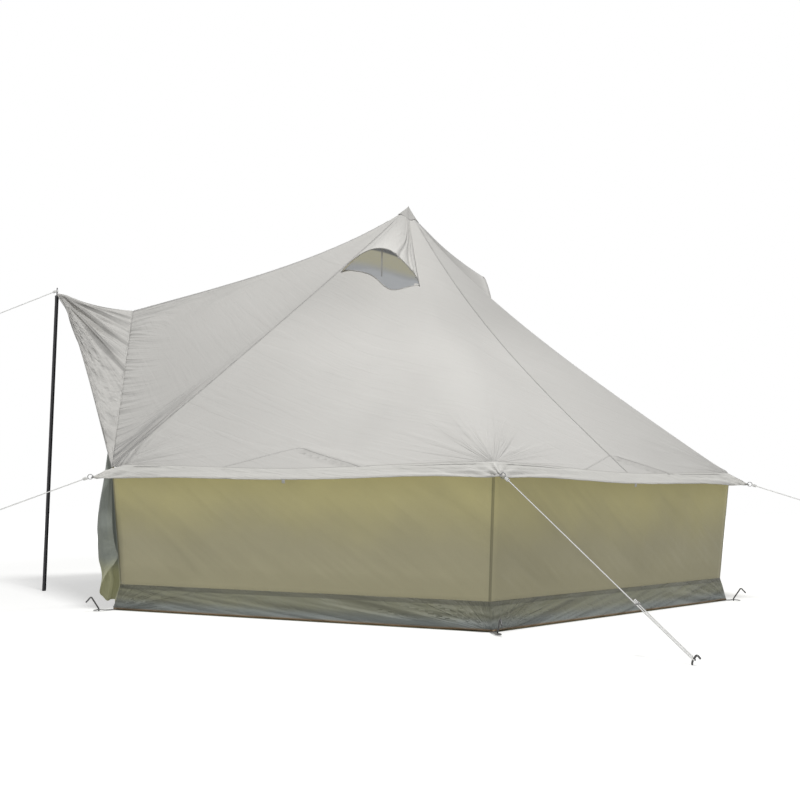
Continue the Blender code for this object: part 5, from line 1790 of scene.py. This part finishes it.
def make_poles():
    """Poles keep their solids' shapes; each gets its finish, and the awning's its fittings."""
    for node in ("centre_pole_lower", "centre_pole_upper", "door_zip_slider"):
        repaint(node, "bare_steel")
    for node in ("vent_prop_1", "vent_prop_2", "vent_prop_3"):
        repaint(node, "grey_plastic")
    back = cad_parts["vent_prop_2"]
    tops = sorted((back.matrix_world @ v.co for v in back.data.vertices), key=lambda q: -q.z)
    top = sum(tops[:8], Vector()) / 8
    route = [top + Vector((0, 0, PROP_END * (0.08 + 0.86 * k / 4))) for k in range(5)]
    fit(tube_piece("vent_prop_end", route, 0.004, "grey_plastic"), "white_plastic",
        body="prop_back")
    foot = Vector((0, -AWNING_TIP_OUT + 0.022, 0))
    tip = Vector((0, -AWNING_TIP_OUT, AWNING_TIP_HEIGHT))
    lean = (tip - foot).to_track_quat("Z", "Y").to_matrix().to_4x4()
    placed = Matrix.Translation(foot) @ lean
    radius, split = AWNING_POLE_RADIUS, 1.02
    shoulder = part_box("awning_pole_upper")[1].z - 0.056
    profiles = {
        "lower": (
            (0, 0), (radius - 0.002, 0), (radius - 0.0004, 0.002), (radius, 0.006),
            (radius, 0.040), (radius - 0.0006, 0.041), (radius - 0.0006, split - 0.004),
            (radius - 0.001, split), (radius - 0.0016, split), (radius - 0.0016, split - 0.10),
            (0, split - 0.10)),
        "upper": (
            (0, split - 0.098), (radius - 0.003, split - 0.098),
            (radius - 0.0021, split - 0.094), (radius - 0.0021, split + 0.0003),
            (radius - 0.001, split + 0.0003), (radius - 0.0006, split + 0.004),
            (radius - 0.0006, shoulder - 0.03), (radius, shoulder - 0.029),
            (radius, shoulder - 0.007), (0.0133, shoulder - 0.005), (0.0133, shoulder - 0.0005),
            (0.004, shoulder), (0.004, 2.018), (0.0016, 2.0215), (0, 2.0218)),
    }
    for half, profile in profiles.items():
        fit(turned_piece(f"awning_tube_{half}", profile, "black_paint", placed), "black_tube",
            f"awning_pole_{half}")
    make_knot("awning_lashing", tip + Vector((0, 0, 0.012)), Z_AXIS, 0.0025)


# Stitches, made by geometry nodes


def stitch_tree():
    """Short rounded stitches along a curve: spacing, length and thickness are its inputs."""
    tree = bpy.data.node_groups.get("stitch_row")
    if tree:
        return tree
    tree = bpy.data.node_groups.new("stitch_row", "GeometryNodeTree")
    inputs = {"Geometry": "Geometry", "Spacing": "Float", "Length": "Float",
              "Thickness": "Float", "Material": "Material"}
    for label, kind in inputs.items():
        tree.interface.new_socket(name=label, in_out="INPUT", socket_type="NodeSocket" + kind)
    tree.interface.new_socket(name="Geometry", in_out="OUTPUT", socket_type="NodeSocketGeometry")
    n = Nodes(tree)

    def made(kind, values=None, **settings):
        return n.out(n.add(kind, values, **settings))

    given = n.add("NodeGroupInput")
    lines, spacing, length, thickness, paint = (n.out(given, label) for label in inputs)
    curve = made("GeometryNodeMeshToCurve", {0: lines})
    spaced = made("GeometryNodeResampleCurve", {"Curve": curve, "Length": spacing},
                  mode="LENGTH")
    turned = made("FunctionNodeAlignRotationToVector",
                  {"Vector": made("GeometryNodeInputTangent")}, axis="Z")
    thread = made("GeometryNodeMeshCylinder",
                  {"Vertices": 5, "Depth": length, "Radius": thickness}, fill_type="NGON")
    copies = made("GeometryNodeInstanceOnPoints",
                  {"Points": spaced, "Instance": thread, "Rotation": turned})
    whole = made("GeometryNodeRealizeInstances", {0: copies})
    n.add("NodeGroupOutput", {
        0: made("GeometryNodeSetMaterial", {"Geometry": whole, "Material": paint})})
    return tree


def make_stitches(name, routes, paint, thickness=0.0007):
    """All the stitches of one group of seams as a plain mesh."""
    points, edges = [], []
    for route in routes:
        first = len(points)
        points += route
        edges += [(first + k, first + k + 1) for k in range(len(route) - 1)]
    mesh = bpy.data.meshes.new(name)
    mesh.from_pydata(points, edges, [])
    lines = linked(name + "_lines", mesh)
    tree = stitch_tree()
    rows = lines.modifiers.new("stitches", "NODES")
    rows.node_group = tree
    known = {s.name: s.identifier for s in tree.interface.items_tree if s.in_out == "INPUT"}
    rows[known["Spacing"]] = sizes().stitch_gap
    rows[known["Length"]] = sizes().stitch_length
    rows[known["Thickness"]] = thickness
    rows[known["Material"]] = finish(paint)
    made = plain_mesh(lines)
    lines.modifiers.remove(rows)
    bpy.data.objects.remove(lines)
    fit(finished(name, made, None), "roof_canvas")


def seam_routes():
    """Both edges of every felled seam on the roof."""
    half = sizes().seam_width / 2 - 0.002
    routes = [[roof_point(seam, 0.07 + 0.925 * k / 60) + across_direction(seam) * (side * half)
               + Vector((0, 0, 0.0016)) for k in range(61)] for seam in SEAMS for side in (-1, 1)]
    for side in (-1, 1):
        routes.append([ridge_point(0.08 + 0.915 * k / 60) + Vector((side * half, 0, 0.0016))
                       for k in range(61)])
        for off in (0.008, -0.008):
            routes.append([seam_point(side, k / 40) + Vector((0, off, 0.0022))
                           for k in range(41)])
    return routes


# Studio


def make_floor():
    """A pale matt floor that looks lighter far out to the camera and in reflections."""
    floor = bpy.data.meshes.new("floor")
    floor.from_pydata([(-30, -30, 0), (30, -30, 0), (30, 30, 0), (-30, 30, 0)], [],
                      [(0, 1, 2, 3)])
    made, n, shader = new_material("pale_floor")
    n.tree.nodes.remove(shader)
    path = n.add("ShaderNodeLightPath")
    far = n.out(n.add("ShaderNodeVectorMath", {0: n.place()}, operation="LENGTH"), "Value")
    shown = n.math("MAXIMUM", n.out(path, "Is Camera Ray"), n.out(path, "Is Glossy Ray"))
    matt = n.add("ShaderNodeBsdfDiffuse", {"Color": (0.62, 0.62, 0.61, 1)})
    glow = n.add("ShaderNodeEmission", {
        "Color": (1, 1, 1, 1), "Strength": shown * n.ranged(far, 3.0, 9.0, 0.52, 1.0)})
    both = n.add("ShaderNodeAddShader", {0: n.out(matt), 1: n.out(glow)})
    n.feed(n.tree.nodes["Material Output"], {"Surface": n.out(both)})
    ground = linked("floor", floor)
    ground.location.z = -0.0008
    floor.materials.append(made)


def make_studio():
    """Floor, soft lamps, plain world and the camera."""
    make_floor()
    scene = bpy.context.scene
    scene.world = bpy.data.worlds.new("studio")
    scene.world.use_nodes = True
    n = Nodes(scene.world.node_tree)
    path = n.add("ShaderNodeLightPath")
    seen = n.math("MAXIMUM", n.out(path, "Is Camera Ray"), n.math(
        "MAXIMUM", n.out(path, "Is Glossy Ray"), n.out(path, "Is Transmission Ray")))
    n.feed(n.tree.nodes["Background"], {
        "Color": (1, 1, 1, 1), "Strength": seen * (1.0 - SKY_LEVEL) + SKY_LEVEL})
    add_lamp("key", Vector((4.1, -0.3, 9.85)), Vector((0, 0, 1.2)), 668.0, 2.4)
    add_lamp("back", Vector((-6.0, 4.0, 6.0)), Vector((0, 0, 1.0)), 100.0, 5.0)

    data = bpy.data.cameras.new("photo_camera")
    data.sensor_width = SENSOR_WIDTH
    data.lens = FOCAL_PIXELS * SENSOR_WIDTH / PHOTO_WIDTH
    data.clip_end = 200.0
    camera = linked("photo_camera", data)
    right = CAMERA_AIM.cross(Z_AXIS).normalized()
    up = right.cross(CAMERA_AIM).normalized()
    roll = radians(CAMERA_ROLL)
    level_right = right * cos(roll) + up * sin(roll)
    level_up = up * cos(roll) - right * sin(roll)
    turned = Matrix((level_right, level_up, -CAMERA_AIM.normalized())).transposed().to_4x4()
    camera.matrix_world = Matrix.Translation(CAMERA_PLACE) @ turned
    scene.camera = camera
    scene.view_settings.view_transform = "Standard"


def add_lamp(name, place, target, energy, size):
    data = bpy.data.lights.new(name, "AREA")
    data.shape, data.size, data.energy = "DISK", size, energy
    lamp = linked(name, data)
    lamp.location = place
    lamp.rotation_euler = (place - target).to_track_quat("Z", "Y").to_euler()


# Operators


class TentStudio(bpy.types.Operator):
    """Set the floor, lamps, world and camera"""
    bl_idname = "tent.studio"
    bl_label = "Studio"

    def execute(self, context):
        make_studio()
        return {"FINISHED"}


class TentRopes(bpy.types.Operator):
    """Run the four guy ropes through their tensioners"""
    bl_idname = "tent.ropes"
    bl_label = "Guy ropes"

    def execute(self, context):
        for name in ROPES:
            make_rope(name)
        return {"FINISHED"}


class TentRoof(bpy.types.Operator):
    """Hang the roof, its cap and its seams"""
    bl_idname = "tent.roof"
    bl_label = "Roof"

    def execute(self, context):
        make_roof()
        make_cap()
        make_stitches("roof_stitches", seam_routes(), "thread")
        return {"FINISHED"}


class TentVents(bpy.types.Operator):
    """Fit the vents' hoods and netting"""
    bl_idname = "tent.vents"
    bl_label = "Vents"

    def execute(self, context):
        for number, face in enumerate(VENTS, start=1):
            make_vent_netting(number, face)
            make_vent_hood(number, face)
        return {"FINISHED"}


class TentAwning(bpy.types.Operator):
    """Stretch the awning over its pole"""
    bl_idname = "tent.awning"
    bl_label = "Awning"

    def execute(self, context):
        make_awning()
        return {"FINISHED"}


class TentWalls(bpy.types.Operator):
    """Hang the walls, the skirt and the eave strip, and lay the groundsheet"""
    bl_idname = "tent.walls"
    bl_label = "Walls and floor"

    def execute(self, context):
        make_eave_strip()
        make_walls()
        make_skirt()
        make_groundsheet()
        return {"FINISHED"}


class TentDoor(bpy.types.Operator):
    """Tie back the two door leaves"""
    bl_idname = "tent.door"
    bl_label = "Door leaves"

    def execute(self, context):
        for side, name in ((1, "right"), (-1, "left")):
            make_door_leaf(side, name)
        return {"FINISHED"}


class TentFittings(bpy.types.Operator):
    """Add the rings, eyelets, pegs and poles"""
    bl_idname = "tent.fittings"
    bl_label = "Fittings"

    def execute(self, context):
        make_rings()
        make_pegs()
        make_poles()
        return {"FINISHED"}


OPERATORS = (TentStudio, TentRopes, TentRoof, TentVents, TentAwning, TentWalls, TentDoor,
             TentFittings)


class TentPanel(bpy.types.Panel):
    """Lists the tent's settings and the steps that build it"""
    bl_idname = "VIEW3D_PT_tent"
    bl_label = "Canvas Bell Tent"
    bl_space_type = "VIEW_3D"
    bl_region_type = "UI"
    bl_category = "Tent"

    def draw(self, context):
        for group in (context.scene.tent_sizes, context.scene.tent_colours):
            for key in group.__annotations__:
                self.layout.prop(group, key)
        for step in OPERATORS:
            self.layout.operator(step.bl_idname)


CLASSES = (TentSizes, TentColours, *OPERATORS, TentPanel)


def register():
    for made in CLASSES:
        bpy.utils.register_class(made)
    bpy.types.Scene.tent_sizes = PointerProperty(type=TentSizes)
    bpy.types.Scene.tent_colours = PointerProperty(type=TentColours)


def unregister():
    del bpy.types.Scene.tent_colours
    del bpy.types.Scene.tent_sizes
    for made in reversed(CLASSES):
        bpy.utils.unregister_class(made)


def main():
    register()
    for step in OPERATORS:
        group, name = step.bl_idname.split(".")
        getattr(getattr(bpy.ops, group), name)()


if __name__ == "__main__":
    main()
